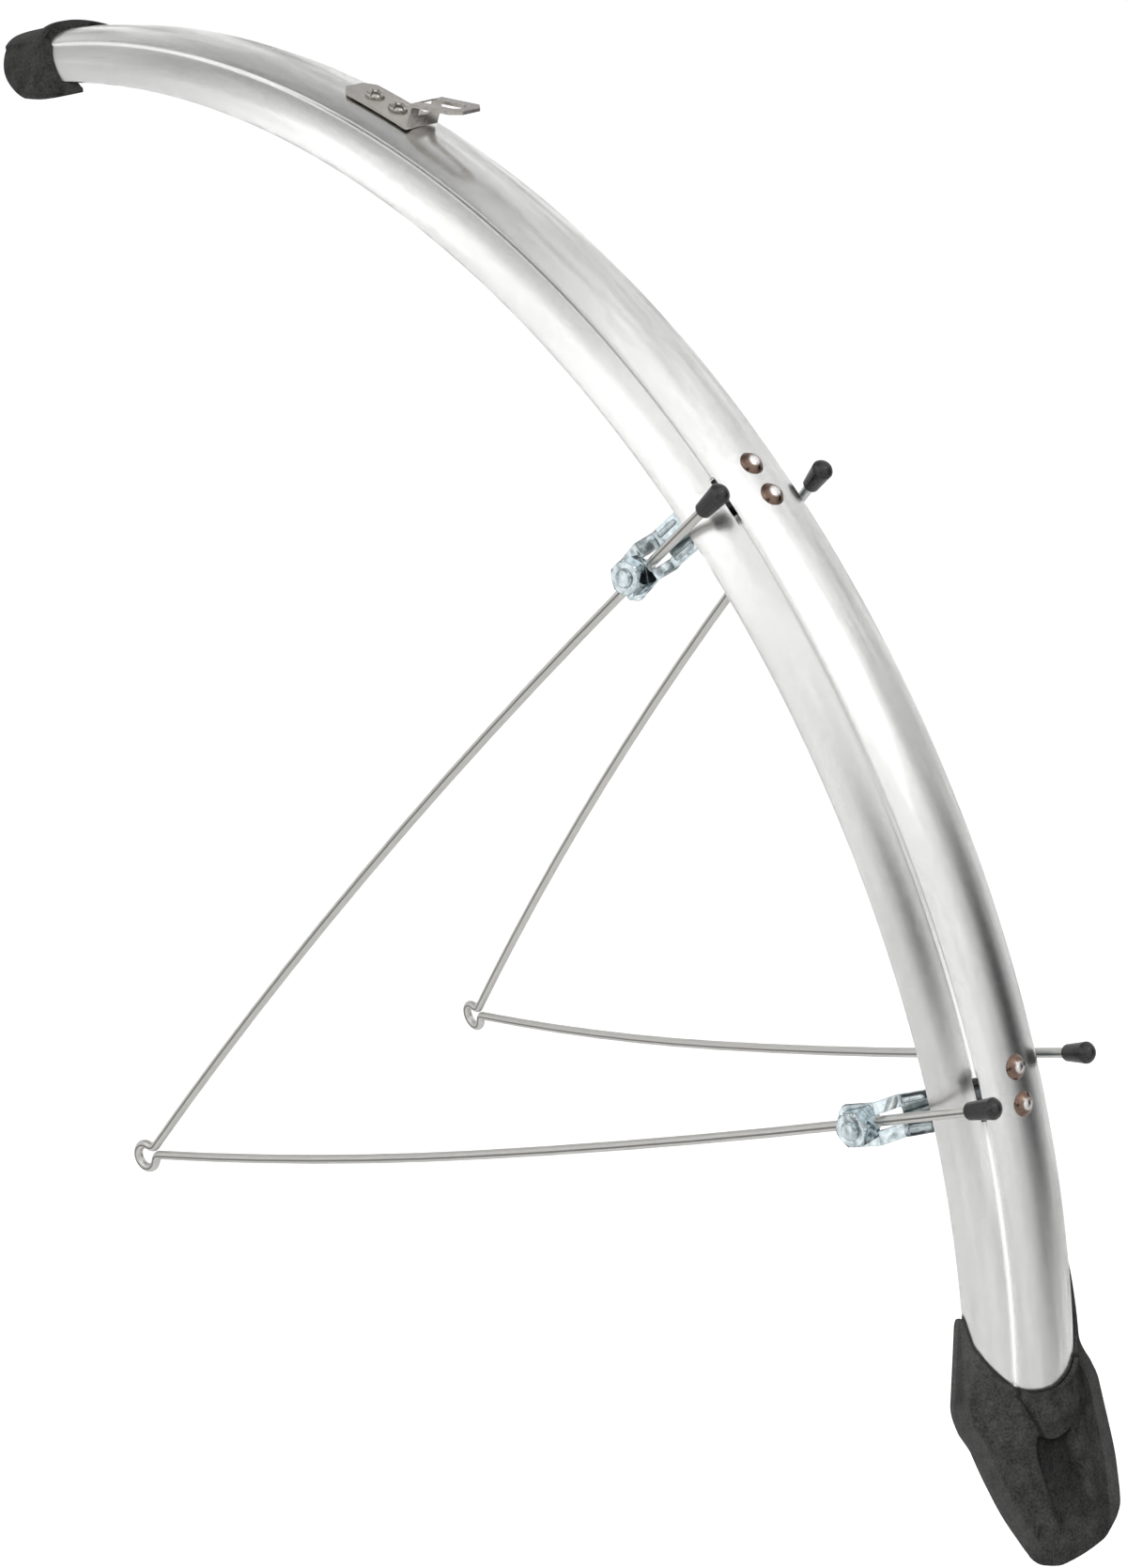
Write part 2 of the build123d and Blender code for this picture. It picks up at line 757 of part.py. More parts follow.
def make_nose_cap():
    # a thick hood over the blade, hollowed so that a lip hooks around each blade edge
    longer = 6.0
    rear = lip_back - 0.1
    body = arc_solid(band(nose_wall, -shell - hook_wall, longer), rear, nose_front + 0.4)
    hook_top = flank_last - math.degrees(hook_height / flank_bend)
    inside = band(-shell + 0.05, -shell - hook_wall - 2, 0.0, hook_top)
    body -= arc_solid(inside, rear - 1, blade_nose - 0.6)
    body -= arc_solid(blade_face(), rear - 1, blade_nose)
    # raised rim along the mouth, which slopes back from the crown to the blade edge
    edge = edge_radius
    low = polar(edge - 0.7, nose_low)
    high = polar(crown_top + 8, nose_back + (nose_back - nose_low) * 8.7 / (crown_top - edge))
    ahead = outward((nose_low + nose_back) / 2 + 90) * rim_wide
    foot = low + (low - high) * 0.3
    strip = [
        Line(foot, high),
        Line(high, high + ahead),
        Line(high + ahead, foot + ahead),
        Line(foot + ahead, foot),
    ]
    rim = arc_solid(band(nose_wall + nose_rim, nose_wall - 0.4, longer - 1), nose_low - 4, nose_back + 4)
    body += rim & side_cutter(strip)
    # shadow gap at the mouth of the crown
    reach = crown_angle * 0.93
    gap = nose_wall + 0.2
    a = crown_point(-reach, -0.5)
    b = crown_point(reach, -0.5)
    c = crown_point(reach, gap)
    d = crown_point(-reach, gap)
    mouth = Face(Wire([
        ThreePointArc(a, crown_point(0, -0.5), b),
        Line(b, c),
        ThreePointArc(c, crown_point(0, gap), d),
        Line(d, a),
    ]))
    body -= arc_solid(mouth, nose_back - 5, nose_back + 0.45)
    # side view: sloping mouth, trailing lip with a hooked tip, rounded front
    front = nose_front
    lip = [
        low,
        polar(edge - 1.2, lip_back + 1.15),
        polar(edge - 2.4, lip_back + 0.6),
        polar(edge - 2.3, lip_back + 0.4),
        polar(edge - 1.6, lip_back + 0.15),
    ]
    tip = [
        polar(edge - 1.6, lip_back + 0.15),
        polar(edge - 1.9, lip_back),
        polar(edge - 3.1, lip_back + 0.15),
    ]
    under = [tip[2], polar(edge - 4.6, nose_low - 0.1), polar(edge - 5.4, nose_low + 1.6)]
    bow = [
        under[2],
        polar(edge - 3.7, front - 4.2),
        polar(edge - 0.2, front - 3.0),
        polar(edge + 4.4, front - 2.0),
        polar(edge + 10.0, front - 1.15),
        polar(crown_top + 1.0, front - 0.2),
    ]
    top = polar(crown_top + 8, front - 1.6)
    edges = [
        Line(high, low),
        Spline(*lip),
        ThreePointArc(*tip),
        ThreePointArc(*under),
        Spline(*bow),
        Line(bow[-1], top),
        Line(top, high),
    ]
    body = body & side_cutter(edges)
    # seen from above the lip thins towards its tip, and the front is rounded
    for side in (-1, 1):
        tail = tip[1] + Vector(0, side * (half_width + nose_wall), 0)
        slant = Plane(
            origin=tail,
            x_dir=backward(lip_back) * -1 - Vector(0, side * 0.75, 0),
            z_dir=outward(lip_back),
        )
        body -= slant * Pos(3, side * 4, 0) * Box(8, 8, 14)
    middle = polar(crown_top, front) + backward(front) * nose_round
    return body & (Plane(origin=middle, z_dir=outward(front)) * Cylinder(nose_round, 80))


def flap_section(height, border, rows):
    # level section: wide of the border, then a fair curve across the middle
    wide = flap_half + 6
    whole = rows + [(x, -y) for x, y in reversed(rows) if y > 0]
    corners = [(border + 1.5, wide), (border, wide), (border, -wide), (border + 1.5, -wide)]
    chain = [whole[0]] + corners + [whole[-1]]
    edges = [Line(chain[i], chain[i + 1]) for i in range(len(chain) - 1)]
    plane = Plane(origin=(axle_x, 0, axle_z + height), x_dir=(1, 0, 0), z_dir=(0, 0, 1))
    return plane * Face(Wire(edges + [Spline(*whole)]))


def flap_body():
    # the collar follows the blade, and below it the flap flattens out and leans back
    lean = math.tan(math.radians(flap_lean))
    foot = edge_radius - 0.6
    end = flap_corner - (flap_drop + 8) * math.cos(math.radians(flap_lean))
    high = collar_high + 4

    def hug(height):
        mid = (flank_first + flank_last) / 2
        marks = [
            flank_point(flank_last, flap_wall),
            flank_point(mid, flap_wall),
            flank_point(flank_first - 4, flap_wall),
            crown_point(crown_angle * 0.5, flap_wall),
            crown_point(0, flap_wall),
        ]
        rows = [(math.sqrt(r * r - height * height), y) for y, r in marks]
        return flap_section(height, math.sqrt(foot * foot - height * height) - 0.2, rows)

    def spread(height, rise, share):
        border = foot + 0.9 + lean * (flap_corner - height)
        half = flap_half - (flap_half - flap_tip_half) * (flap_corner - height) / flap_drop
        rows = [
            (border + 1.5 + rise * share * 0.9, half * 0.84),
            (border + rise * (0.55 + share * 0.25), half * 0.62),
            (border + rise * 0.86, half * 0.42),
            (border + rise * 0.97, half * 0.2),
            (border + rise, 0.0),
        ]
        return flap_section(height, border, rows)

    # evenly spaced levels keep the skin fair
    levels = [high + (end - high) * i / 11 for i in range(12)]
    swell = crown_top - edge_radius
    rises = [swell * part for part in (0.78, 0.62, 0.465, 0.35, 0.26, 0.20, 0.16)]
    shares = [0.19, 0.22, 0.26, 0.30, 0.32, 0.32, 0.3]
    sections = [hug(level) for level in levels[:5]]
    sections += [spread(*row) for row in zip(levels[5:], rises, shares)]
    return loft(sections)


def flap_outline():
    # the border, drawn in the plane it lies in: across, then down along the lean
    edges = []
    for hand in (1, -1):
        rows = [
            (half_width + 0.8, -36),
            (half_width + 1.2, -28),
            (half_width + 2.6, -21),
            (half_width + 4.6, -11),
            (flap_half - 1.0, -1),
            (flap_half, 3.5),
            (flap_half - 0.9, 12),
            (flap_half - 2.8, 24),
            (flap_tip_half + 3.0, flap_drop - 22),
            (flap_tip_half - 0.2, flap_drop - 12),
            (flap_tip_half - 3.9, flap_drop - 5.2),
            (flap_tip_half - 10.5, flap_drop - 0.9),
        ]
        rows = [(hand * y, v) for y, v in rows]
        edges += [Spline(*rows[:6]), Spline(*rows[5:10]), ThreePointArc(*rows[9:])]
    foot = (flap_tip_half - 10.5, flap_drop - 0.9)
    edges.append(ThreePointArc(foot, (0, flap_drop), (-foot[0], foot[1])))
    edges.append(Line((half_width + 0.8, -36), (-half_width - 0.8, -36)))
    return Face(Wire(edges))


def make_mud_flap():
    outer = flap_body()
    body = outer - Pos(-flap_thick, 0, 0) * outer
    body -= arc_solid(filled(0.06, edge_radius - 40), blade_end - 0.01, 25)
    face = Plane(origin=(axle_x, 0, axle_z), x_dir=(0, 1, 0), z_dir=(1, 0, 0))
    # raised tongue below the collar, then the channel that carries on from its tip
    bend = tongue_tip + 3.0
    tongue = Face(Wire([
        Line((-crown_half - 1.5, collar_low + 12), (-crown_half - 0.6, collar_low + 3.5)),
        Line((-crown_half - 0.6, collar_low + 3.5), (-tongue_half, bend)),
        ThreePointArc((-tongue_half, bend), (0, tongue_tip - 0.5), (tongue_half, bend)),
        Line((tongue_half, bend), (crown_half + 0.6, collar_low + 3.5)),
        Line((crown_half + 0.6, collar_low + 3.5), (crown_half + 1.5, collar_low + 12)),
        Line((crown_half + 1.5, collar_low + 12), (-crown_half - 1.5, collar_low + 12)),
    ]))
    pad = Pos(1.0, 0, 0) * outer - outer
    body += pad & extrude(face * tongue, 500, dir=(1, 0, 0))
    channel = Face(Wire([
        ThreePointArc((-tongue_half, bend), (0, tongue_tip - 0.5), (tongue_half, bend)),
        Line((tongue_half, bend), (tongue_half + 0.7, channel_end)),
        Line((tongue_half + 0.7, channel_end), (-tongue_half - 0.7, channel_end)),
        Line((-tongue_half - 0.7, channel_end), (-tongue_half, bend)),
    ]))
    # its floor runs out to nothing at the end
    run_out = math.degrees(math.atan2(channel_depth, bend - channel_end))
    hinge = Pos(axle_x + edge_radius, 0, axle_z + channel_end)
    sunk = hinge * Rot(0, -run_out, 0) * hinge.inverse() * outer
    body -= (outer - sunk) & extrude(face * channel, 500, dir=(1, 0, 0))
    # the collar is an open U
    wide = half_width + 1.0
    collar = Spline(
        (-wide, collar_high - 2), (-crown_half - 1.0, collar_low + 4.5), (0, collar_low),
        (crown_half + 1.0, collar_low + 4.5), (wide, collar_high - 2),
    )
    mouth = Face(Wire([
        collar,
        Line((wide, collar_high - 2), (wide + 12, collar_high)),
        Line((wide + 12, collar_high), (wide + 12, collar_high + 36)),
        Line((wide + 12, collar_high + 36), (-wide - 12, collar_high + 36)),
        Line((-wide - 12, collar_high + 36), (-wide - 12, collar_high)),
        Line((-wide - 12, collar_high), (-wide, collar_high - 2)),
    ]))
    body -= extrude(face * mouth, 500, dir=(1, 0, 0))
    # trim to the border
    lean = math.radians(flap_lean)
    sheet = Plane(
        origin=(axle_x + edge_radius + 0.3, 0, axle_z + flap_corner),
        x_dir=(0, 1, 0),
        z_dir=(-math.cos(lean), 0, -math.sin(lean)),
    )
    return body & extrude(sheet * flap_outline(), 60, both=True)


parts = {
    "blade": make_blade(),
    "nose_cap": make_nose_cap(),
    "mud_flap": make_mud_flap(),
    "crown_bracket": make_crown_bracket(),
    "upper_bridge": make_bridge(upper),
    "lower_bridge": make_bridge(lower),
    "left_stay": make_stay(-1),
    "right_stay": make_stay(1),
}
for number, angle in enumerate(rivet_angles(bracket_angle, bracket_pitch), 1):
    parts[f"crown_rivet_{number}"] = make_tube_rivet(angle)
for level, clamp in (("upper", upper), ("lower", lower)):
    for number, angle in enumerate(rivet_angles(clamp.angle, rivet_pitch), 1):
        parts[f"{level}_rivet_{number}"] = make_dome_rivet(angle, clamp)
    for hand, side in (("left", -1), ("right", 1)):
        parts[f"{level}_{hand}_eye_bolt"] = make_eye_bolt(clamp, side)
        parts[f"{level}_{hand}_nut"] = make_clamp_nut(clamp, side)
        parts[f"{level}_{hand}_cap"] = make_stay_cap(clamp, side)

for name, shape in parts.items():
    export_step(shape, f"parts/{name}.step")
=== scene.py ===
"""Looks of a front bicycle mudguard: rolled silver blade, wire stays, plated clamps and black trim."""

import logging
import math
from dataclasses import dataclass
from enum import Enum
from typing import Iterable, Sequence

import bmesh
import bpy
import numpy as np
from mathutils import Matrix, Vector


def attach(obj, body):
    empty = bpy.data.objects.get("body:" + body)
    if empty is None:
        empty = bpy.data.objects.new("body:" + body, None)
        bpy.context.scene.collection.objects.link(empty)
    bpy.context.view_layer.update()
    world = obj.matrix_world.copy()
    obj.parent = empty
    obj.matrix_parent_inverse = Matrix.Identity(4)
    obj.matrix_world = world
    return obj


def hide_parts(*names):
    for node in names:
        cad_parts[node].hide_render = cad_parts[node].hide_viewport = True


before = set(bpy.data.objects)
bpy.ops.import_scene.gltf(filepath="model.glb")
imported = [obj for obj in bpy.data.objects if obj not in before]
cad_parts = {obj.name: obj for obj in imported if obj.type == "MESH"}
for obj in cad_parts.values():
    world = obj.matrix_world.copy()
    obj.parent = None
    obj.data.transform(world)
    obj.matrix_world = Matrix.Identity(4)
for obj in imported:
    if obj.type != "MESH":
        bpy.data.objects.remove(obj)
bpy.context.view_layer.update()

log = logging.getLogger("mudguard")

MM = 0.001
AXLE = (-28.8, 0.0, 2.9)  # middle of the wheel, in millimetres
# the mesh attribute "line" carries painted light and shade: above 0 a painted highlight, below 0 a
# painted shade
PAINTED_LIGHT = "line"  # mesh attribute that shades a PaintedLightFinish

Shade = tuple[float, float, float]
Table = tuple[tuple[float, float], ...]


class Slot(Enum):
    """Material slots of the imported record."""

    BLADE = "blade_silver"
    FLAP = "flap_rubber"


class Level(Enum):
    """The two places where the stays are clamped."""

    UPPER = "upper"
    LOWER = "lower"


class NodeSheet:
    """Adds nodes to one node tree and links them."""

    def __init__(self, tree: bpy.types.NodeTree) -> None:
        """Keeps the tree that the nodes go in.

        Args:
            tree: A shader or geometry node tree.
        """
        self.tree = tree

    def add(self, kind: str, settings: dict | None = None, **inputs: object) -> bpy.types.Node:
        """Adds one node.

        Args:
            kind: The node's type name.
            settings: Properties of the node itself.
            inputs: Values or output sockets for its inputs, with _ for a space.

        Returns:
            The new node.
        """
        node = self.tree.nodes.new(kind)
        for name, value in (settings or {}).items():
            setattr(node, name, value)
        for name, value in inputs.items():
            self.feed(node.inputs[name.replace("_", " ")], value)
        return node

    def feed(self, socket: bpy.types.NodeSocket, value: object) -> None:
        """Links an output to a socket, or sets the socket's own value.

        Args:
            socket: The input to fill.
            value: An output socket or a plain value.
        """
        if isinstance(value, bpy.types.NodeSocket):
            self.tree.links.new(value, socket)
        else:
            socket.default_value = value

    def math(self, operation: str, *values: object) -> bpy.types.NodeSocket:
        """Adds a math node.

        Args:
            operation: The name of the sum, such as MULTIPLY.
            values: Numbers or output sockets.

        Returns:
            The result's socket.
        """
        node = self.add("ShaderNodeMath", {"operation": operation})
        for socket, value in zip(node.inputs, values):
            self.feed(socket, value)
        return node.outputs[0]

    def vector(self, operation: str, *values: object) -> bpy.types.NodeSocket:
        """Adds a vector math node.

        Args:
            operation: The name of the sum, such as SUBTRACT.
            values: Vectors or output sockets.

        Returns:
            The result's socket: a number for a distance or a dot product, else a vector.
        """
        node = self.add("ShaderNodeVectorMath", {"operation": operation})
        for socket, value in zip(node.inputs, values):
            self.feed(socket, value)
        return node.outputs["Value" if operation in ("DISTANCE", "DOT_PRODUCT") else "Vector"]

    def span(self, value: bpy.types.NodeSocket, low: float, high: float) -> bpy.types.NodeSocket:
        """Maps a value of 0 to 1 to the range low to high."""
        return self.math("MULTIPLY_ADD", value, high - low, low)

    def rise(self, value: bpy.types.NodeSocket, start: float, end: float) -> bpy.types.NodeSocket:
        """Turns a value into a soft step.

        Args:
            value: The driving socket.
            start: Value where the step begins, at 0.
            end: Value where it ends, at 1.

        Returns:
            The step's socket.
        """
        node = self.add("ShaderNodeMapRange", {"interpolation_type": "SMOOTHSTEP"}, Value=value)
        node.inputs["From Min"].default_value = start
        node.inputs["From Max"].default_value = end
        return node.outputs[0]

    def mix(self, share: object, first: bpy.types.NodeSocket, second: Shade) -> bpy.types.NodeSocket:
        """Mixes a plain shade into a colour, by a share of 0 to 1."""
        colours = {"Fac": share, "Color1": first, "Color2": (*second, 1.0)}
        return self.add("ShaderNodeMixRGB", **colours).outputs[0]

    def shades(
        self, value: bpy.types.NodeSocket, low: Shade, high: Shade, start: float, end: float
    ) -> bpy.types.NodeSocket:
        """Turns a value into a colour between two shades.

        Args:
            value: The driving socket.
            low: Colour at start.
            high: Colour at end.
            start: Value that gives the first colour.
            end: Value that gives the last colour.

        Returns:
            The colour socket.
        """
        ramp = self.add("ShaderNodeValToRGB", Fac=value)
        for stop, place, shade in zip(ramp.color_ramp.elements, (start, end), (low, high)):
            stop.position = place
            stop.color = (*shade, 1.0)
        return ramp.outputs["Color"]


@dataclass(frozen=True)
class Finish:
    """A surface finish, made as one procedural material.

    Attributes:
        name: Name of the material.
        dark: Colour where the grain is low.
        light: Colour where the grain is high.
        rough: Lowest and highest roughness.
        metallic: Share of bare metal.
        grain: Grains per metre.
        depth: Height of the grain, in millimetres.
        coat: Weight of a clear layer on top.
        coat_rough: Roughness of that layer.
        gloss: Strength of the mirrored light on a surface that is no metal.
        soft_edge: Rounding that the edges show, in millimetres.
        dents: Height of the broad unevenness, in millimetres.
        fine: Share of the fine grain in the colour.
        broad: How many times wider the broad grain is.
        blend: Values of the mixed grain that give the dark and the light colour.
    """

    name: str
    dark: Shade
    light: Shade
    rough: tuple[float, float]
    metallic: float
    grain: float
    depth: float
    coat: float = 0.0
    coat_rough: float = 0.1
    gloss: float = 0.5
    soft_edge: float = 0.0
    dents: float = 0.0
    fine: float = 0.6
    broad: float = 6.0
    blend: tuple[float, float] = (0.3, 0.7)

    def material(self) -> bpy.types.Material:
        """Returns the material, made on first use."""
        found = bpy.data.materials.get(self.name)
        if found is not None:
            return found
        made = bpy.data.materials.new(self.name)
        made.use_nodes = True
        made.node_tree.nodes.clear()
        sheet = NodeSheet(made.node_tree)
        place = sheet.add("ShaderNodeTexCoord").outputs["Object"]
        skin = {
            "Metallic": self.metallic,
            "Specular_IOR_Level": self.gloss,
            "Coat_Weight": self.coat,
            "Coat_Roughness": self.coat_rough,
        }
        shader = sheet.add("ShaderNodeBsdfPrincipled", **{**skin, **self.pattern(sheet, place)})
        sheet.add("ShaderNodeOutputMaterial", Surface=shader.outputs[0])
        return made

    def pattern(self, sheet: NodeSheet, place: bpy.types.NodeSocket) -> dict[str, object]:
        """Builds the grain.

        Args:
            sheet: The material's nodes.
            place: Coordinates on the piece.

        Returns:
            The shader's inputs by name.
        """
        fine, broad = (
            sheet.add("ShaderNodeTexNoise", Vector=place, Scale=scale, Detail=2.0).outputs["Fac"]
            for scale in (self.grain, self.grain / self.broad)
        )
        rest = sheet.math("MULTIPLY", broad, 1 - self.fine)
        mixed = sheet.math("MULTIPLY_ADD", fine, self.fine, rest)
        high = sheet.math("MULTIPLY_ADD", fine, self.depth, sheet.math("MULTIPLY", broad, self.dents))
        bump = sheet.add("ShaderNodeBump", Height=high, Strength=1.0, Distance=MM)
        if self.soft_edge:
            edge = sheet.add("ShaderNodeBevel", {"samples": 4}, Radius=self.soft_edge * MM)
            sheet.feed(bump.inputs["Normal"], edge.outputs[0])
        return {
            "Base_Color": sheet.shades(mixed, self.dark, self.light, *self.blend),
            "Roughness": sheet.span(mixed, *self.rough),
            "Normal": bump.outputs[0],
        }


@dataclass(frozen=True)
class PaintedLightFinish(Finish):
    """A finish that paints light and shade from a mesh attribute: -1 gives the painted shade, 1 the
    painted highlight.

    The painted highlight is matt, so that it stays bright where the metal mirrors a dark part of the
    room.

    Attributes:
        low: The painted shade.
        high: The painted highlight.
    """

    low: Shade = (0.10, 0.10, 0.10)
    high: Shade = (1.0, 1.0, 1.0)

    def pattern(self, sheet: NodeSheet, place: bpy.types.NodeSocket) -> dict[str, object]:
        """Builds the grain and shades it along the line.

        Args:
            sheet: The material's nodes.
            place: Coordinates on the piece.

        Returns:
            The shader's inputs by name.
        """
        skin = super().pattern(sheet, place)
        # painted light and shade read from the mesh attribute; the painted highlight also takes away
        # the metal's mirror
        line = sheet.add("ShaderNodeAttribute", {"attribute_name": PAINTED_LIGHT}).outputs["Fac"]
        for sign, shade in ((-1.0, self.low), (1.0, self.high)):
            share = sheet.math("MAXIMUM", sheet.math("MULTIPLY", line, sign), 0.0)
            skin["Base_Color"] = sheet.mix(share, skin["Base_Color"], shade)
        bare = sheet.math("SUBTRACT", 1.0, sheet.math("MAXIMUM", line, 0.0))
        return {**skin, "Metallic": sheet.math("MULTIPLY", bare, self.metallic)}


@dataclass(frozen=True)
class AxleFinish(Finish):
    """A finish that depends on where the wheel axle is.

    Attributes:
        axle: The axle, in metres.
        level: Factors that leave out the way across the wheel.
    """

    axle: Shade = tuple(c * MM for c in AXLE)
    level: Shade = (1.0, 0.0, 1.0)


@dataclass(frozen=True)
class PaintedSlitShadeFinish(AxleFinish):
    """A finish with a painted shade where the piece lies deep in a slit, beyond a distance from the
    axle.

    Attributes:
        reach: Distance from the axle where the painted shade begins, in metres.
        deep: The painted shade.
    """

    reach: float = 0.3615
    deep: Shade = (0.10, 0.105, 0.11)

    def pattern(self, sheet: NodeSheet, place: bpy.types.NodeSocket) -> dict[str, object]:
        """Builds the grain and darkens it in the slits.

        Args:
            sheet: The material's nodes.
            place: Coordinates on the piece.

        Returns:
            The shader's inputs by name.
        """
        skin = super().pattern(sheet, place)
        away = sheet.vector("DISTANCE", sheet.vector("MULTIPLY", place, self.level), self.axle)
        # painted shade on the part that lies deep in the slit
        dark = sheet.math("GREATER_THAN", away, self.reach)
        return {**skin, "Base_Color": sheet.mix(dark, skin["Base_Color"], self.deep)}


@dataclass(frozen=True)
class PaintedHighlightDomeFinish(AxleFinish):
    """A finish for round rivet heads, which look away from the axle.

    They get a painted highlight on top; round the rim they keep their dark brown grain.

    Attributes:
        painted_highlight: Colour of the painted highlight on top.
        top: Cosines of the tilt where the painted highlight begins and where it is full.
    """

    painted_highlight: Shade = (1.0, 0.97, 0.95)
    top: tuple[float, float] = (0.88, 0.975)

    def pattern(self, sheet: NodeSheet, place: bpy.types.NodeSocket) -> dict[str, object]:
        """Builds the grain and polishes the top of the head.

        Args:
            sheet: The material's nodes.
            place: Coordinates on the piece.

        Returns:
            The shader's inputs by name.
        """
        skin = super().pattern(sheet, place)
        away = sheet.vector("MULTIPLY", sheet.vector("SUBTRACT", place, self.axle), self.level)
        normal = sheet.add("ShaderNodeTexCoord").outputs["Normal"]
        facing = sheet.vector("DOT_PRODUCT", sheet.vector("NORMALIZE", away), normal)
        # painted highlight where the head faces away from the axle
        share = sheet.rise(facing, *self.top)
        return {**skin, "Base_Color": sheet.mix(share, skin["Base_Color"], self.painted_highlight)}


@dataclass(frozen=True)
class PaintedBandWireFinish(Finish):
    """A finish for drawn wire, with a painted dark band along the side that looks left or right,
    standing in for a dark reflection.

    Attributes:
        painted_band: Colour of the painted dark band.
        side: Cosines of the turn where the painted band begins and where it is full.
    """

    painted_band: Shade = (0.24, 0.235, 0.225)
    side: tuple[float, float] = (0.955, 0.985)

    def pattern(self, sheet: NodeSheet, place: bpy.types.NodeSocket) -> dict[str, object]:
        """Builds the grain and draws the die line.

        Args:
            sheet: The material's nodes.
            place: Coordinates on the piece.

        Returns:
            The shader's inputs by name.
        """
        skin = super().pattern(sheet, place)
        normal = sheet.add("ShaderNodeTexCoord").outputs["Normal"]
        turn = sheet.math("ABSOLUTE", sheet.add("ShaderNodeSeparateXYZ", Vector=normal).outputs["Y"])
        # painted dark band on the sides that face left or right, standing in for a dark reflection
        share = sheet.rise(turn, *self.side)
        return {**skin, "Base_Color": sheet.mix(share, skin["Base_Color"], self.painted_band)}


# the wide spread from dark blue-grey to light grain is partly the plating's own mottle and partly
# painted reflection: dark and bright patches standing in for the room mirrored in the plating
ZINC_LOOK = {
    "dark": (0.27, 0.335, 0.36), "light": (0.74, 0.80, 0.82), "rough": (0.03, 0.07),
    "metallic": 1.0, "grain": 500.0, "depth": 0.003, "soft_edge": 0.3, "dents": 0.12,
}
# SILVER paints shade and a matt highlight along the blade's step line
SILVER = PaintedLightFinish(
    "silver_laminate", dark=(0.81, 0.81, 0.80), light=(0.88, 0.88, 0.87), rough=(0.19, 0.27),
    metallic=1.0, grain=2400.0, depth=0.003, coat=0.2,
)
TRIM = Finish(
    "moulded_trim", dark=(0.004, 0.004, 0.004), light=(0.055, 0.055, 0.052), rough=(0.5, 0.66),
    metallic=0.0, grain=1000.0, depth=0.06, gloss=0.1, soft_edge=0.35,
)
# RUBBER's low is the painted shade in the flap's channel and along the tongue's walls; its high is the
# painted light on the border strip
RUBBER = PaintedLightFinish(
    "matt_rubber", dark=(0.016, 0.0165, 0.016), light=(0.082, 0.084, 0.080), rough=(0.5, 0.68),
    metallic=0.0, grain=1300.0, depth=0.06, gloss=0.0, soft_edge=0.3,
    low=(0.002, 0.002, 0.002), high=(0.13, 0.13, 0.128),
)
STAINLESS = Finish(
    "brushed_steel", dark=(0.44, 0.42, 0.39), light=(0.60, 0.575, 0.54), rough=(0.16, 0.30),
    metallic=1.0, grain=900.0, depth=0.004, soft_edge=0.15,
)
ZINC = Finish("bright_zinc", **ZINC_LOOK)
# the straps get a painted shade where they lie deep in the slits
STRAP_ZINC = PaintedSlitShadeFinish("strap_zinc", **ZINC_LOOK)
# wire with a painted dark band standing in for a dark reflection
WIRE = PaintedBandWireFinish(
    "drawn_wire", dark=(0.66, 0.65, 0.625), light=(0.70, 0.69, 0.66), rough=(0.3, 0.34),
    metallic=1.0, grain=900.0, depth=0.0,
)
# rivet heads with a painted highlight on top
NICKEL = PaintedHighlightDomeFinish(
    "polished_nickel", dark=(0.17, 0.11, 0.085), light=(0.27, 0.19, 0.15), rough=(0.08, 0.14),
    metallic=1.0, grain=500.0, depth=0.001,
)
SOFT_BLACK = Finish(
    "soft_black", dark=(0.008, 0.008, 0.008), light=(0.024, 0.024, 0.023), rough=(0.16, 0.24),
    metallic=0.0, grain=1200.0, depth=0.02, gloss=0.5, soft_edge=0.2,
)


def add_piece(
    name: str, mesh: bpy.types.Mesh, finish: Finish, stands_for: Iterable[str]
) -> bpy.types.Object:
    """Puts a finished mesh in the scene as a piece of the part.

    Args:
        name: Name of the piece.
        mesh: Mesh with its place in it.
        finish: The finish it shows.
        stands_for: Nodes of the solid model that it replaces.

    Returns:
        The new object.
    """
    mesh.name = name
    mesh.materials.clear()
    mesh.materials.append(finish.material())
    piece = bpy.data.objects.new(name, mesh)
    bpy.context.scene.collection.objects.link(piece)
    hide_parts(*stands_for)
    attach(piece, "root")
    log.info("%s: %d faces", name, len(mesh.polygons))
    return piece


def dress(names: Iterable[str], finish: Finish) -> None:
    """Gives nodes of the solid model their finish.

    Args:
        names: The nodes.
        finish: The finish they show.
    """
    for name in names:
        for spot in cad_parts[name].material_slots:
            spot.material = finish.material()
        log.info("%s keeps its solid", name)


def paint_light_and_shade(mesh: bpy.types.Mesh, shades: np.ndarray) -> None:
    """Writes the painted light and shade that a PaintedLightFinish reads, one value for each vertex."""
    line = mesh.attributes.new(PAINTED_LIGHT, "FLOAT", "POINT")
    line.data.foreach_set("value", shades.ravel().astype(np.float32))


def set_inputs(modifier: bpy.types.Modifier, values: dict[str, object]) -> None:
    """Sets a node modifier's inputs by the identifiers of their sockets.

    Args:
        modifier: A Geometry Nodes modifier.
        values: Values by the names of the inputs.
    """
    for item in modifier.node_group.interface.items_tree:
        if item.item_type == "SOCKET" and item.in_out == "INPUT" and item.name in values:
            modifier[item.identifier] = values[item.name]


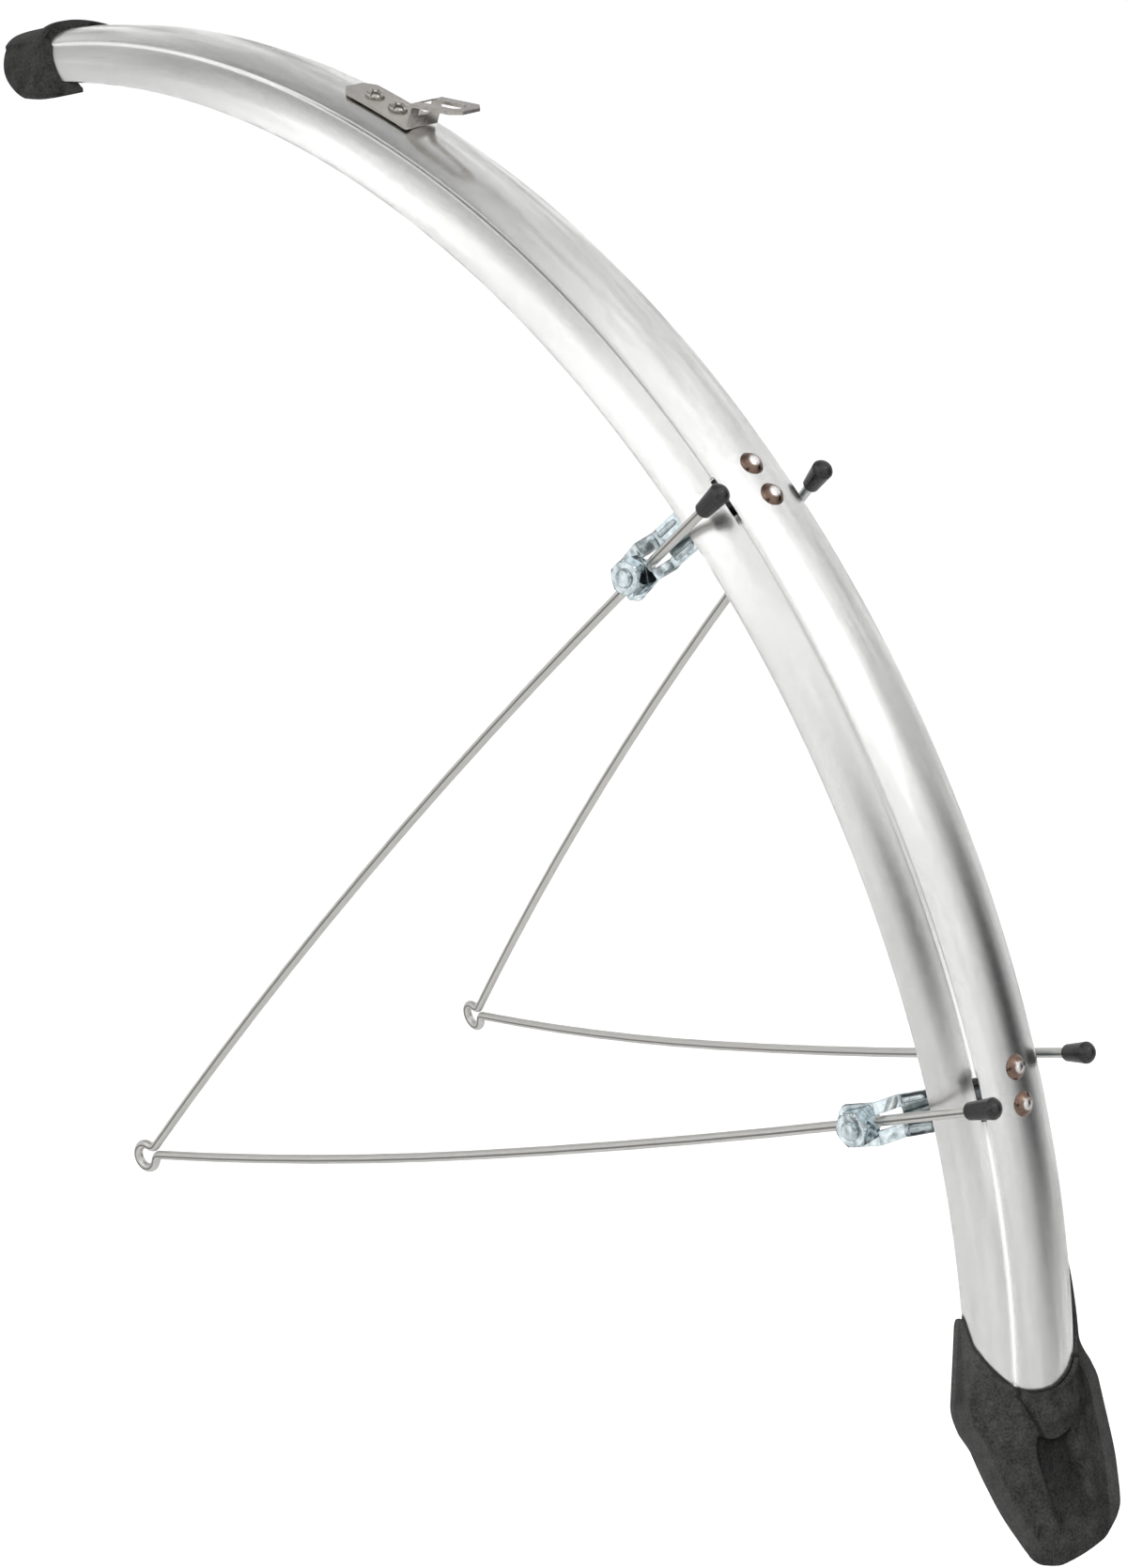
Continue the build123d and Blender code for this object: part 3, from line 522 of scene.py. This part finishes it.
@dataclass(frozen=True)
class Wall:
    """Thickness and rounded rim of a piece made from a skin. Millimetres and degrees.

    Attributes:
        thick: Thickness, inwards from the skin.
        even: Whether it is kept even round corners.
        rim: Rounding of the rim.
        turn: Least angle of an edge that is rounded.
        sharp: Least angle of an edge that is shaded sharp.
        rim_steps: Faces round the rim.
    """

    thick: float
    even: bool
    rim: float
    turn: float
    sharp: float
    rim_steps: int = 3

    def mesh(self, skin: bpy.types.Object) -> bpy.types.Mesh:
        """Gives a skin its wall.

        Args:
            skin: Object with the skin, which is used up.

        Returns:
            The plain mesh.
        """
        wall = skin.modifiers.new("wall", "SOLIDIFY")
        wall.thickness = self.thick * MM
        wall.offset = -1.0
        wall.use_even_offset = self.even
        rim = skin.modifiers.new("rim", "BEVEL")
        rim.limit_method = "ANGLE"
        rim.angle_limit = math.radians(self.turn)
        rim.width = self.rim * MM
        rim.segments = self.rim_steps
        bpy.context.view_layer.update()
        graph = bpy.context.evaluated_depsgraph_get()
        made = bpy.data.meshes.new_from_object(skin.evaluated_get(graph))
        skin.modifiers.clear()
        bpy.data.objects.remove(skin)
        made.set_sharp_from_angle(angle=math.radians(self.sharp))
        return made


@dataclass
class Blade:
    """The rolled shell, with a crown, a step each side and two flanks. Millimetres and degrees."""

    width: float = 45.5
    crown_top: float = 369.0
    crown_half: float = 12.9
    crown_rise: float = 3.5
    step_out: float = 0.7
    step_drop: float = 1.15
    step_blur: float = 0.2
    edge_radius: float = 353.8
    flank_turn: float = 26.0
    first: float = 3.0
    last: float = 104.2
    slit_angles: tuple[float, ...] = (49.2, 19.15)
    slit_length: float = 13.5
    slit_inner: float = 12.8
    slit_outer: float = 13.8
    section_points: int = 60
    section_gap: float = 0.05
    blur_reach: int = 12
    plain_columns: int = 15
    step_columns: int = 18
    ring: float = 0.4
    ring_clear: float = 0.45
    # width of the painted light and shade across the step line, and its strength by ring angle: above 0
    # a painted highlight, below 0 a painted shade
    step_painted_wide: float = 0.6
    step_painted_light: Table = (
        (20, 0.9), (28, 0.1), (36, -0.25), (50, -0.4), (62, -0.85), (78, -0.9), (84, 0.0), (90, 0.5)
    )
    wall: Wall = Wall(thick=1.1, even=True, rim=0.28, turn=60.0, sharp=40.0)

    def section(self, lift: float = 0.0) -> np.ndarray:
        """Draws the right half of the section.

        Args:
            lift: Distance outside the skin.

        Returns:
            Points (y, radius) on the crown and then on the flank, from the middle out.
        """
        bend = (self.crown_half**2 + self.crown_rise**2) / (2 * self.crown_rise)
        t = np.linspace(0, math.asin(self.crown_half / bend), self.section_points)
        middle = self.crown_top - bend
        crown = np.stack([(bend + lift) * np.sin(t), middle + (bend + lift) * np.cos(t)], 1)
        step = (self.crown_half + self.step_out, self.crown_top - self.crown_rise - self.step_drop)
        start, end = np.array(step), np.array([self.width / 2, self.edge_radius])
        slope = math.atan2(start[1] - end[1], end[0] - start[0])
        half = math.radians(self.flank_turn / 2)
        radius = np.linalg.norm(end - start) / (2 * math.sin(half))
        a = np.linspace(slope - half, slope + half, self.section_points)
        ray = np.stack([np.sin(a), np.cos(a)], 1)
        flank = start + radius * (ray - ray[0]) + lift * ray
        return np.concatenate([crown, flank])

    def soft_section(self) -> tuple[np.ndarray, np.ndarray]:
        """Rounds the corners of the step.

        Returns:
            Lengths along the half section, and the points there.
        """
        points = self.section()
        run = np.concatenate([[0], np.cumsum(np.linalg.norm(np.diff(points, axis=0), axis=1))])
        even = np.arange(0, run[-1], self.section_gap)
        dense = np.stack([np.interp(even, run, points[:, i]) for i in range(2)], 1)
        reach = self.blur_reach
        kernel = np.exp(-0.5 * (np.arange(-reach, reach + 1) * self.section_gap / self.step_blur) ** 2)
        kernel /= kernel.sum()
        soft = dense.copy()
        for i in range(2):
            soft[reach:-reach, i] = np.convolve(dense[:, i], kernel, "valid")
        return even, soft

    def rings(self) -> np.ndarray:
        """Returns the angles of the blank's rings, with one at each end of a slit."""
        ends = [a + s * self.slit_turn() for a in self.slit_angles for s in (1, -1)]
        even = np.linspace(self.first, self.last, round((self.last - self.first) / self.ring))
        clear = [r for r in even if min(abs(r - e) for e in ends) > self.ring * self.ring_clear]
        return np.sort(np.array(clear + ends))

    def slit_turn(self) -> float:
        """Returns half the angle that a slit takes up."""
        return math.degrees(self.slit_length / 2 / self.crown_top)

    def section_path(self, soft: np.ndarray) -> bpy.types.Object:
        """Draws the whole section as a curve.

        Args:
            soft: Points of the right half.

        Returns:
            The curve's object.
        """
        curve = bpy.data.curves.new("blade_section", "CURVE")
        spline = curve.splines.new("POLY")
        line = np.concatenate([soft[:0:-1] * [-1, 1], soft])
        spline.points.add(len(line) - 1)
        for point, (y, r) in zip(spline.points, line):
            point.co = (y * MM, r * MM, 0, 1)
        path = bpy.data.objects.new("blade_section", curve)
        bpy.context.scene.collection.objects.link(path)
        return path

    def blank(self, even: np.ndarray, soft: np.ndarray) -> bpy.types.Mesh:
        """Cuts the flat blank, with its slits left open and its columns closest at the step.

        Args:
            even: Lengths along the half section.
            soft: Points there.

        Returns:
            The blank, with angle and length as its first two coordinates.
        """
        low, high = (float(np.interp(y, soft[:, 0], even)) for y in (self.slit_inner, self.slit_outer))
        right = np.concatenate([
            np.linspace(0, low, self.plain_columns),
            np.linspace(low, high, self.step_columns)[1:],
            np.linspace(high, even[-1], self.plain_columns)[1:],
        ])
        lengths = np.concatenate([-right[:0:-1], right])
        rings = self.rings()
        count = len(lengths)
        corners = [(math.radians(a), (s + even[-1]) * MM, 0.0) for a in rings for s in lengths]
        faces = []
        for i in range(len(rings) - 1):
            angle = (rings[i] + rings[i + 1]) / 2
            cut = any(abs(angle - a) < self.slit_turn() for a in self.slit_angles)
            for j in range(count - 1):
                middle = abs(lengths[j] + lengths[j + 1]) / 2
                if not (cut and low < middle < high):
                    k = i * count + j
                    faces.append((k, k + 1, k + count + 1, k + count))
        mesh = bpy.data.meshes.new("blade_blank")
        mesh.from_pydata(corners, [], faces)
        # a band of painted light and shade along the step line, graded by ring angle
        step = float(np.interp(self.crown_half + self.step_out / 2, soft[:, 0], even))
        across = np.exp(-(((np.abs(lengths) - step) / self.step_painted_wide) ** 2))
        paint_light_and_shade(mesh, np.outer(np.interp(rings, *zip(*self.step_painted_light)), across))
        return mesh

    def roll_tree(self) -> bpy.types.NodeTree:
        """Returns the node tree that rolls a flat blank to the section and round the axle."""
        tree = bpy.data.node_groups.new("roll_blade", "GeometryNodeTree")
        kinds = {
            "Blank": "Geometry",
            "Section": "Object",
            "Axle X": "Float",
            "Axle Z": "Float",
            "Finish": "Material",
        }
        for name, kind in kinds.items():
            tree.interface.new_socket(name, in_out="INPUT", socket_type=f"NodeSocket{kind}")
        tree.interface.new_socket("Shell", in_out="OUTPUT", socket_type="NodeSocketGeometry")
        sheet = NodeSheet(tree)
        given = sheet.add("NodeGroupInput").outputs
        position = sheet.add("GeometryNodeInputPosition").outputs[0]
        flat = sheet.add("ShaderNodeSeparateXYZ", Vector=position).outputs
        section = sheet.add("GeometryNodeObjectInfo", Object=given["Section"]).outputs["Geometry"]
        by_length = {"mode": "LENGTH", "use_all_curves": True}
        sample = sheet.add("GeometryNodeSampleCurve", by_length, Curves=section, Length=flat["Y"])
        spot = sheet.add("ShaderNodeSeparateXYZ", Vector=sample.outputs["Position"]).outputs
        across = sheet.math("MULTIPLY_ADD", spot["Y"], sheet.math("COSINE", flat["X"]), given["Axle X"])
        upward = sheet.math("MULTIPLY_ADD", spot["Y"], sheet.math("SINE", flat["X"]), given["Axle Z"])
        place = sheet.add("ShaderNodeCombineXYZ", X=across, Y=spot["X"], Z=upward).outputs[0]
        moved = sheet.add("GeometryNodeSetPosition", Geometry=given["Blank"], Position=place).outputs[0]
        smooth = sheet.add("GeometryNodeSetShadeSmooth")
        sheet.feed(smooth.inputs[0], moved)
        whole = sheet.add("GeometryNodeRealizeInstances", Geometry=smooth.outputs[0]).outputs[0]
        painted = sheet.add("GeometryNodeSetMaterial", Geometry=whole, Material=given["Finish"])
        sheet.feed(sheet.add("NodeGroupOutput").inputs[0], painted.outputs[0])
        return tree

    def build(self) -> bpy.types.Object:
        """Rolls the blank, gives it its thickness and returns the piece."""
        even, soft = self.soft_section()
        path = self.section_path(soft)
        holder = bpy.data.objects.new("blade_blank", self.blank(even, soft))
        bpy.context.scene.collection.objects.link(holder)
        roll = holder.modifiers.new("roll", "NODES")
        roll.node_group = self.roll_tree()
        set_inputs(roll, {
            "Section": path,
            "Axle X": AXLE[0] * MM,
            "Axle Z": AXLE[2] * MM,
            "Finish": SILVER.material(),
        })
        made = self.wall.mesh(holder)
        bpy.data.objects.remove(path)
        return add_piece("blade_shell", made, SILVER, ["blade"])


def fair(marks: Sequence[float], values: Sequence[float] | np.ndarray, at: np.ndarray) -> np.ndarray:
    """Draws a fair curve through given values.

    Args:
        marks: Rising positions.
        values: Values there, or rows with a value for each position to read.
        at: Positions to read.

    Returns:
        The values read, one for each position.
    """
    marks, values = np.asarray(marks), np.asarray(values)
    slope = np.gradient(values, marks, axis=0)
    i = np.clip(np.searchsorted(marks, at) - 1, 0, len(marks) - 2)
    gap = marks[i + 1] - marks[i]
    t = np.clip((at - marks[i]) / gap, 0.0, 1.0)
    here, after = (i, i + 1) if values.ndim == 1 else ((k, np.arange(len(at))) for k in (i, i + 1))
    leave, arrive = slope[here] * gap, slope[after] * gap
    turn = values[here] - values[after]
    curve = t * t * (-3 * turn - 2 * leave - arrive) + t**3 * (2 * turn + leave + arrive)
    return values[here] + t * leave + curve


def ease(value: np.ndarray, width: float) -> np.ndarray:
    """Returns 0 below -width, 1 above +width and a soft step between."""
    t = np.clip(value / (2 * width) + 0.5, 0.0, 1.0)
    return t * t * (3 - 2 * t)


@dataclass
class Flap:
    """The moulded flap, from its collar on the blade to its foot. Millimetres and degrees."""

    blade: Blade
    lift: float = 1.7
    gap: float = 0.3
    half: float = 29.7
    tip_half: float = 22.3
    corner: float = 24.8
    corner_down: float = 6.0
    drop: float = 56.4
    lean: float = 29.0
    top: float = 58.0
    end: float = -31.5
    levels: int = 12
    margin: float = 6.0
    flange: float = 1.5
    rises: Table = (
        (-31.5, 0.06), (-23.4, 0.13), (-15.2, 0.22), (-7.1, 0.26),
        (1.0, 0.28), (9.2, 0.37), (17.0, 0.66), (25.4, 0.9),
    )
    shoulders: Table = (
        (-31.5, 0.3), (-15.2, 0.32), (-7.1, 0.3), (1.0, 0.26), (9.2, 0.22), (17.3, 0.19)
    )
    section_at: tuple[float, ...] = (0.0, 0.2, 0.42, 0.62, 0.84)
    crown_highs: tuple[float, ...] = (1.0, 0.97, 0.86)
    shoulder_high: tuple[float, float] = (0.55, 0.25)
    brim_high: float = 0.9
    section_gap: float = 0.1
    held_middle: tuple[float, float] = (18.0, 4.5)
    held_wing: tuple[float, float] = (21.0, 6.0)
    wing: tuple[float, float] = (12.0, 20.0)
    wing_flare: Table = ((-36, 0.9), (-28, 2.2), (-21, 3.4), (-11, 4.9), (-1, 6.1))
    side_in: Table = ((12, 0.7), (24, 2.4))
    tip_in: Table = ((22, -3.0), (12, 0.2), (-3, 5.0))
    foot_round: Table = (
        (22.3, 0.0), (16.3, 0.2), (10.5, 0.9), (6.8, 2.6), (3.9, 5.2), (1.7, 8.3), (0.2, 12.0)
    )
    collar_line: Table = (
        (0.0, 27.6), (6.0, 28.4), (11.0, 29.7), (14.7, 31.8), (17.0, 34.2), (19.1, 37.1), (21.5, 41.5),
        (22.9, 45.5), (23.4, 49.0), (23.9, 52.2), (24.6, 53.0), (25.4, 51.6), (26.2, 48.4),
    )
    strip: float = 5.2
    strip_high: float = 1.3
    strip_slope: float = 8.0
    # painted light on the border strip, and the softness of its edge
    strip_painted_light: float = 0.3
    strip_soft: float = 0.4
    strip_ends: Table = ((-24.0, 0.0), (-12.0, 1.0), (14.0, 1.0), (26.0, 0.0))
    tongue_half: float = 6.9
    tongue_top: float = 13.5
    tongue_tip: float = 11.0
    tongue_root: float = 28.8
    tongue_over: float = 0.9
    tongue_heights: Table = ((19.0, 1.7), (26.5, 0.15))
    tongue_soft: float = 0.8
    tip_soft: float = 0.9
    # strength of the painted shade along the tongue's walls
    tongue_wall_painted_shade: float = 2.6
    channel_end: float = -15.0
    channel_deep: float = 2.4
    channel_run: float = 0.8
    channel_over: float = 0.4
    channel_flare: float = 0.7
    channel_soft: float = 1.3
    # strength of the painted shade in the channel, and how it grows with depth
    channel_painted_shade: float = 0.62
    channel_fade: float = 0.7
    columns: int = 150
    rows: int = 150
    heights: int = 900
    outside: float = 4.0
    crowding: float = 0.93
    wall: Wall = Wall(thick=1.6, even=False, rim=0.4, turn=55.0, sharp=50.0)

    def border(self, z: np.ndarray) -> np.ndarray:
        """Returns how far behind the axle the leaning border lies at each height."""
        return self.blade.edge_radius + self.gap + math.tan(math.radians(self.lean)) * (self.corner - z)

    def spread(self) -> tuple[np.ndarray, np.ndarray, np.ndarray]:
        """Draws level sections of the free part, which flattens as it goes down.

        Returns:
            Heights, half widths and the skin's distance behind the axle, one row for each height.
        """
        across = np.arange(0.0, self.half + self.margin, self.section_gap)
        heights = np.linspace(self.end, self.top, self.levels)
        parts = np.interp(heights, *zip(*self.rises))
        shares = np.interp(heights, *zip(*self.shoulders))
        table = []
        for z, part, share in zip(heights, parts, shares):
            half = self.half - (self.half - self.tip_half) * (self.corner - z) / self.drop
            rise = (self.blade.crown_top - self.blade.edge_radius) * part
            y = half * np.array(self.section_at)
            shoulder = self.shoulder_high[0] + share * self.shoulder_high[1]
            highs = np.array([*self.crown_highs, shoulder, share * self.brim_high])
            x = self.border(z) + rise * highs
            x[-1] += self.flange
            both = np.concatenate([-y[:0:-1], y]), np.concatenate([x[:0:-1], x])
            brim = (y[-1], self.half + self.margin), (x[-1], self.border(z) + self.flange)
            table.append(np.where(across < y[-1], fair(*both, across), np.interp(across, *brim)))
        return heights, across, np.array(table)

    def depth(self, y: np.ndarray, z: np.ndarray) -> np.ndarray:
        """Finds the skin's distance behind the axle: on the blade above, free of it below.

        Args:
            y: Places across.
            z: Heights over the axle.

        Returns:
            The distances.
        """
        heights, across, table = self.spread()
        free = fair(heights, np.array([np.interp(np.abs(y), across, row) for row in table]), z)
        skin = self.blade.section(self.lift)
        radius = np.interp(np.abs(y), skin[:, 0], skin[:, 1])
        held = np.sqrt(radius**2 - z * z)
        wing = np.clip((np.abs(y) - self.wing[0]) / (self.wing[1] - self.wing[0]), 0.0, 1.0)
        middle, width = (a + (b - a) * wing for a, b in zip(self.held_middle, self.held_wing))
        return free + (held - free) * ease((z - middle) / width, 1.0)

    def side(self, down: np.ndarray) -> np.ndarray:
        """Finds the half width of the border, with a crisp corner.

        Args:
            down: Distances down along the lean.

        Returns:
            The half widths.
        """
        corner = (self.corner_down, self.half)
        upper = [(at, self.blade.width / 2 + flare) for at, flare in self.wing_flare] + [corner]
        lower = [corner] + [(at, self.half - inward) for at, inward in self.side_in]
        lower += [(self.drop - up, self.tip_half - inward) for up, inward in self.tip_in]
        above, below = (fair(*zip(*line), down) for line in (upper, lower))
        return np.where(down < self.corner_down, above, below)

    def foot(self, y: np.ndarray) -> np.ndarray:
        """Returns how far down the foot lies at each half width."""
        inward, upward = np.array(self.foot_round).T
        return fair(self.tip_half - inward, self.drop - upward, y)

    def collar(self, y: np.ndarray) -> np.ndarray:
        """Returns the height of the open collar at each half width."""
        return fair(*zip(*self.collar_line), y)

    def relief(self, y: np.ndarray, z: np.ndarray) -> tuple[np.ndarray, np.ndarray]:
        """Shapes the tongue and the channel.

        Args:
            y: Places across.
            z: Heights over the axle.

        Returns:
            How far the skin stands out, and the painted shade in the channel and along the tongue's
            walls.
        """
        widest = self.blade.crown_half + self.tongue_over
        wide = np.interp(z, (self.tongue_top, self.tongue_root), (self.tongue_half, widest))
        tip = self.tongue_tip + (self.tongue_top - self.tongue_tip) * (y / self.tongue_half) ** 2
        raised = ease(wide - np.abs(y), self.tongue_soft) * ease(z - tip, self.tip_soft)
        length = self.tongue_top - self.channel_end
        run = np.clip((z - self.channel_end) / length, 0.0, 1.0) ** self.channel_run
        flare = self.channel_flare * (self.tongue_top - z) / length
        reach = self.tongue_half + self.channel_over + flare
        sunk = ease(reach - np.abs(y), self.channel_soft) * ease(tip - z, self.tip_soft) * run
        high = np.interp(z, *zip(*self.tongue_heights))
        # painted shade along the tongue's walls and in the channel
        painted_wall_shade = self.tongue_wall_painted_shade * raised * (1 - raised)
        shade = -self.channel_painted_shade * sunk**self.channel_fade - painted_wall_shade
        return raised * high - sunk * self.channel_deep, shade

    def grid(self) -> tuple[np.ndarray, np.ndarray, np.ndarray]:
        """Lays the points of the skin between the collar, the borders and the foot.

        Returns:
            Places across, heights over the axle and distances from the border.
        """
        lean = math.radians(self.lean)
        z = np.linspace(self.end, self.top, self.heights)
        beside = np.full_like(z, self.half + self.outside)
        back = self.depth(beside, z) - self.blade.edge_radius - self.gap
        down = back * math.sin(lean) - (z - self.corner) * math.cos(lean)
        wide = self.side(down)
        turn = self.crowding * math.pi
        across = np.sin(np.linspace(-0.5, 0.5, self.columns) * turn) / math.sin(turn / 2)
        share = np.linspace(0.0, 1.0, self.rows)
        points = []
        for c in across:
            y = abs(c) * wide
            high = np.interp(0.0, z - self.collar(y), z)
            low = np.interp(0.0, -(down - self.foot(y)), z)
            column = high + (low - high) * share
            points.append(np.stack([c * np.interp(column, z, wide), column], 1))
        y, z = np.array(points).reshape(-1, 2).T
        inward = np.repeat(np.abs(across), self.rows)
        return y, z, np.abs(y) / np.maximum(inward, 1e-6) * (1 - inward)

    def skin(self) -> bpy.types.Mesh:
        """Spans the outer skin and paints light and shade on it."""
        y, z, border = self.grid()
        raised, shade = self.relief(y, z)
        strip_end = np.interp(z, *zip(*self.strip_ends))
        face = np.clip((border - self.strip) / self.strip_slope, 0.0, 1.0) * strip_end
        x = self.depth(y, z) + raised + face * self.strip_high
        corners = (np.stack([x, y, z], 1) + AXLE) * MM
        n = self.rows
        starts = (i * n + j for i in range(self.columns - 1) for j in range(n - 1))
        mesh = bpy.data.meshes.new("flap_skin")
        mesh.from_pydata(corners.tolist(), [], [(k, k + 1, k + n + 1, k + n) for k in starts])
        # painted light on the border strip, fading out towards the foot, added to the painted shade
        lower_end = np.interp(z, *zip(*self.strip_ends[:2]))
        paint_light_and_shade(mesh, shade + self.strip_painted_light * ease(self.strip - border, self.strip_soft) * lower_end)
        mesh.shade_smooth()
        return mesh

    def build(self) -> bpy.types.Object:
        """Gives the skin its thickness and returns the piece."""
        holder = bpy.data.objects.new("flap_skin", self.skin())
        bpy.context.scene.collection.objects.link(holder)
        return add_piece("flap_moulding", self.wall.mesh(holder), RUBBER, ["mud_flap"])


@dataclass
class Hardware:
    """Stays, clamps, bracket and trim that keep their solids."""

    hands: tuple[str, str] = ("left", "right")

    def dress(self) -> None:
        """Gives each solid its finish."""
        dress(["nose_cap"], TRIM)
        dress(["crown_bracket", "crown_rivet_1", "crown_rivet_2"], STAINLESS)
        dress([f"{hand}_stay" for hand in self.hands], WIRE)
        for level in Level:
            dress([f"{level.value}_bridge"], STRAP_ZINC)
            dress([f"{level.value}_rivet_{i}" for i in (1, 2)], NICKEL)
            for hand in self.hands:
                dress([f"{level.value}_{hand}_eye_bolt", f"{level.value}_{hand}_nut"], ZINC)
                dress([f"{level.value}_{hand}_cap"], SOFT_BLACK)


@dataclass(frozen=True)
class Glow:
    """One soft patch of the room's light, or a dark patch where its strength is below zero.

    Attributes:
        strength: Brightness in the middle of the patch.
        azimuth: Its direction on the level, in degrees from +X towards +Y.
        elevation: Its height over the horizon, in degrees.
        focus: How narrow it is.
    """

    strength: float
    azimuth: float
    elevation: float
    focus: float

    def axis(self) -> tuple[float, float, float]:
        """Returns the unit vector to the middle of the patch."""
        a, e = math.radians(self.azimuth), math.radians(self.elevation)
        return (math.cos(e) * math.cos(a), math.cos(e) * math.sin(a), math.sin(e))


@dataclass(frozen=True)
class Lamp:
    """A soft lamp that lights matt surfaces and isn't mirrored.

    Attributes:
        name: Its name.
        spot: Its place, in metres.
        size: Its side, in metres.
        power: Its power, in watts.
    """

    name: str
    spot: tuple[float, float, float]
    size: float
    power: float


@dataclass
class Studio:
    """White floor, soft light and the camera at the photograph's angle.

    Sizes in metres, angles in degrees, the lens and its sensor in millimetres.
    """

    target: tuple[float, float, float] = (0.12844, 0.0, 0.15822)
    azimuth: float = 46.33
    elevation: float = 23.78
    distance: float = 1.2
    lens: float = 86.27
    sensor: float = 36.0
    nearest: float = 0.01
    floor_level: float = -0.345
    floor_half: float = 9.0
    floor_shade: Shade = (0.8, 0.8, 0.8)
    floor_glow: float = 0.75
    room_light: float = 0.78
    darkest: float = 0.02
    matt_share: float = 0.3
    clutter: float = 34.0
    clutter_edge: tuple[float, float] = (0.42, 0.58)
    clutter_range: tuple[float, float] = (0.1, 1.9)
    patches: tuple[Glow, ...] = (
        Glow(0.66, 9.0, 59.5, 6.7),
        Glow(0.99, -133.0, 39.6, 29.0),
        Glow(0.73, -85.0, 37.2, 27.0),
        Glow(-0.80, 52.0, 0.7, 11.0),
        Glow(-0.52, 190.0, 57.0, 5.6),
        Glow(-0.80, -46.0, 12.4, 60.0),
        Glow(4.0, 23.0, 45.0, 220.0),
    )
    lamps: tuple[Lamp, ...] = (
        Lamp("key", (-0.9, -1.5, 1.7), 1.2, 9.0),
        Lamp("side", (1.2, -1.5, 1.5), 0.7, 38.0),
    )

    def build_floor(self) -> None:
        """Lays the floor. Mirrored rays pass it, so that bright metal shows the room instead."""
        mesh = bpy.data.meshes.new("floor")
        grid = bmesh.new()
        bmesh.ops.create_grid(grid, x_segments=1, y_segments=1, size=self.floor_half)
        bmesh.ops.translate(grid, verts=grid.verts, vec=(0, 0, self.floor_level))
        grid.to_mesh(mesh)
        grid.free()
        floor = bpy.data.objects.new("floor", mesh)
        bpy.context.scene.collection.objects.link(floor)
        made = bpy.data.materials.new("floor_white")
        made.use_nodes = True
        made.node_tree.nodes.clear()
        sheet = NodeSheet(made.node_tree)
        ray = sheet.add("ShaderNodeLightPath").outputs
        glow = sheet.math("MULTIPLY", ray["Is Camera Ray"], self.floor_glow)
        both = sheet.add("ShaderNodeAddShader")
        matt = sheet.add("ShaderNodeBsdfDiffuse", Color=(*self.floor_shade, 1.0))
        sheet.feed(both.inputs[0], matt.outputs[0])
        sheet.feed(both.inputs[1], sheet.add("ShaderNodeEmission", Strength=glow).outputs[0])
        shown = sheet.add("ShaderNodeMixShader", Fac=ray["Is Glossy Ray"])
        sheet.feed(shown.inputs[1], both.outputs[0])
        sheet.feed(shown.inputs[2], sheet.add("ShaderNodeBsdfTransparent").outputs[0])
        sheet.add("ShaderNodeOutputMaterial", Surface=shown.outputs[0])
        mesh.materials.append(made)

    def build_room(self) -> None:
        """Sets the light from all around, uneven with soft patches and small clutter."""
        world = bpy.data.worlds.new("room")
        bpy.context.scene.world = world
        world.use_nodes = True
        world.node_tree.nodes.clear()
        sheet = NodeSheet(world.node_tree)
        way = sheet.add("ShaderNodeTexCoord").outputs["Object"]
        light = self.room_light
        for patch in self.patches:
            facing = sheet.vector("DOT_PRODUCT", way, patch.axis())
            fall = sheet.math("MULTIPLY_ADD", facing, patch.focus, -patch.focus)
            light = sheet.math("MULTIPLY_ADD", sheet.math("EXPONENT", fall), patch.strength, light)
        clutter = sheet.add("ShaderNodeTexNoise", Vector=way, Scale=self.clutter, Detail=0.0)
        patchy = sheet.rise(clutter.outputs["Fac"], *self.clutter_edge)
        spots = sheet.span(patchy, *self.clutter_range)
        light = sheet.math("MAXIMUM", sheet.math("MULTIPLY", light, spots), self.darkest)
        ray = sheet.add("ShaderNodeLightPath").outputs
        matt = sheet.math("MULTIPLY", light, sheet.span(ray["Is Diffuse Ray"], 1.0, self.matt_share))
        seen = sheet.math("MAXIMUM", matt, ray["Is Camera Ray"])
        air = sheet.add("ShaderNodeBackground", Color=(1.0, 1.0, 1.0, 1.0), Strength=seen)
        sheet.add("ShaderNodeOutputWorld", Surface=air.outputs[0])

    def build_lamps(self) -> None:
        """Hangs the soft lamps, each turned to the middle of the part."""
        for lamp in self.lamps:
            light = bpy.data.lights.new(lamp.name, "AREA")
            light.size = lamp.size
            light.energy = lamp.power
            hung = bpy.data.objects.new(lamp.name, light)
            hung.location = lamp.spot
            hung.visible_glossy = False
            ahead = Vector(self.target) - Vector(lamp.spot)
            hung.rotation_euler = ahead.to_track_quat("-Z", "Y").to_euler()
            bpy.context.scene.collection.objects.link(hung)

    def build_camera(self) -> None:
        """Sets the camera where the photograph was taken from."""
        a, e = math.radians(self.azimuth), math.radians(self.elevation)
        back = Vector((math.sin(a) * math.cos(e), -math.cos(a) * math.cos(e), math.sin(e)))
        data = bpy.data.cameras.new("camera")
        data.lens = self.lens
        data.sensor_width = self.sensor
        data.clip_start = self.nearest
        camera = bpy.data.objects.new("camera", data)
        camera.location = Vector(self.target) + back * self.distance
        camera.rotation_euler = (-back).to_track_quat("-Z", "Y").to_euler()
        bpy.context.scene.collection.objects.link(camera)
        bpy.context.scene.camera = camera

    def build(self) -> None:
        """Builds the whole studio."""
        bpy.context.scene.view_settings.view_transform = "Standard"
        self.build_floor()
        self.build_room()
        self.build_lamps()
        self.build_camera()


def main() -> None:
    """Builds the pieces in order, then the studio."""
    logging.basicConfig(level=logging.INFO, format="%(name)s %(message)s")
    blade = Blade()
    blade.build()
    Flap(blade).build()
    Hardware().dress()
    Studio().build()


if __name__ == "__main__":
    main()
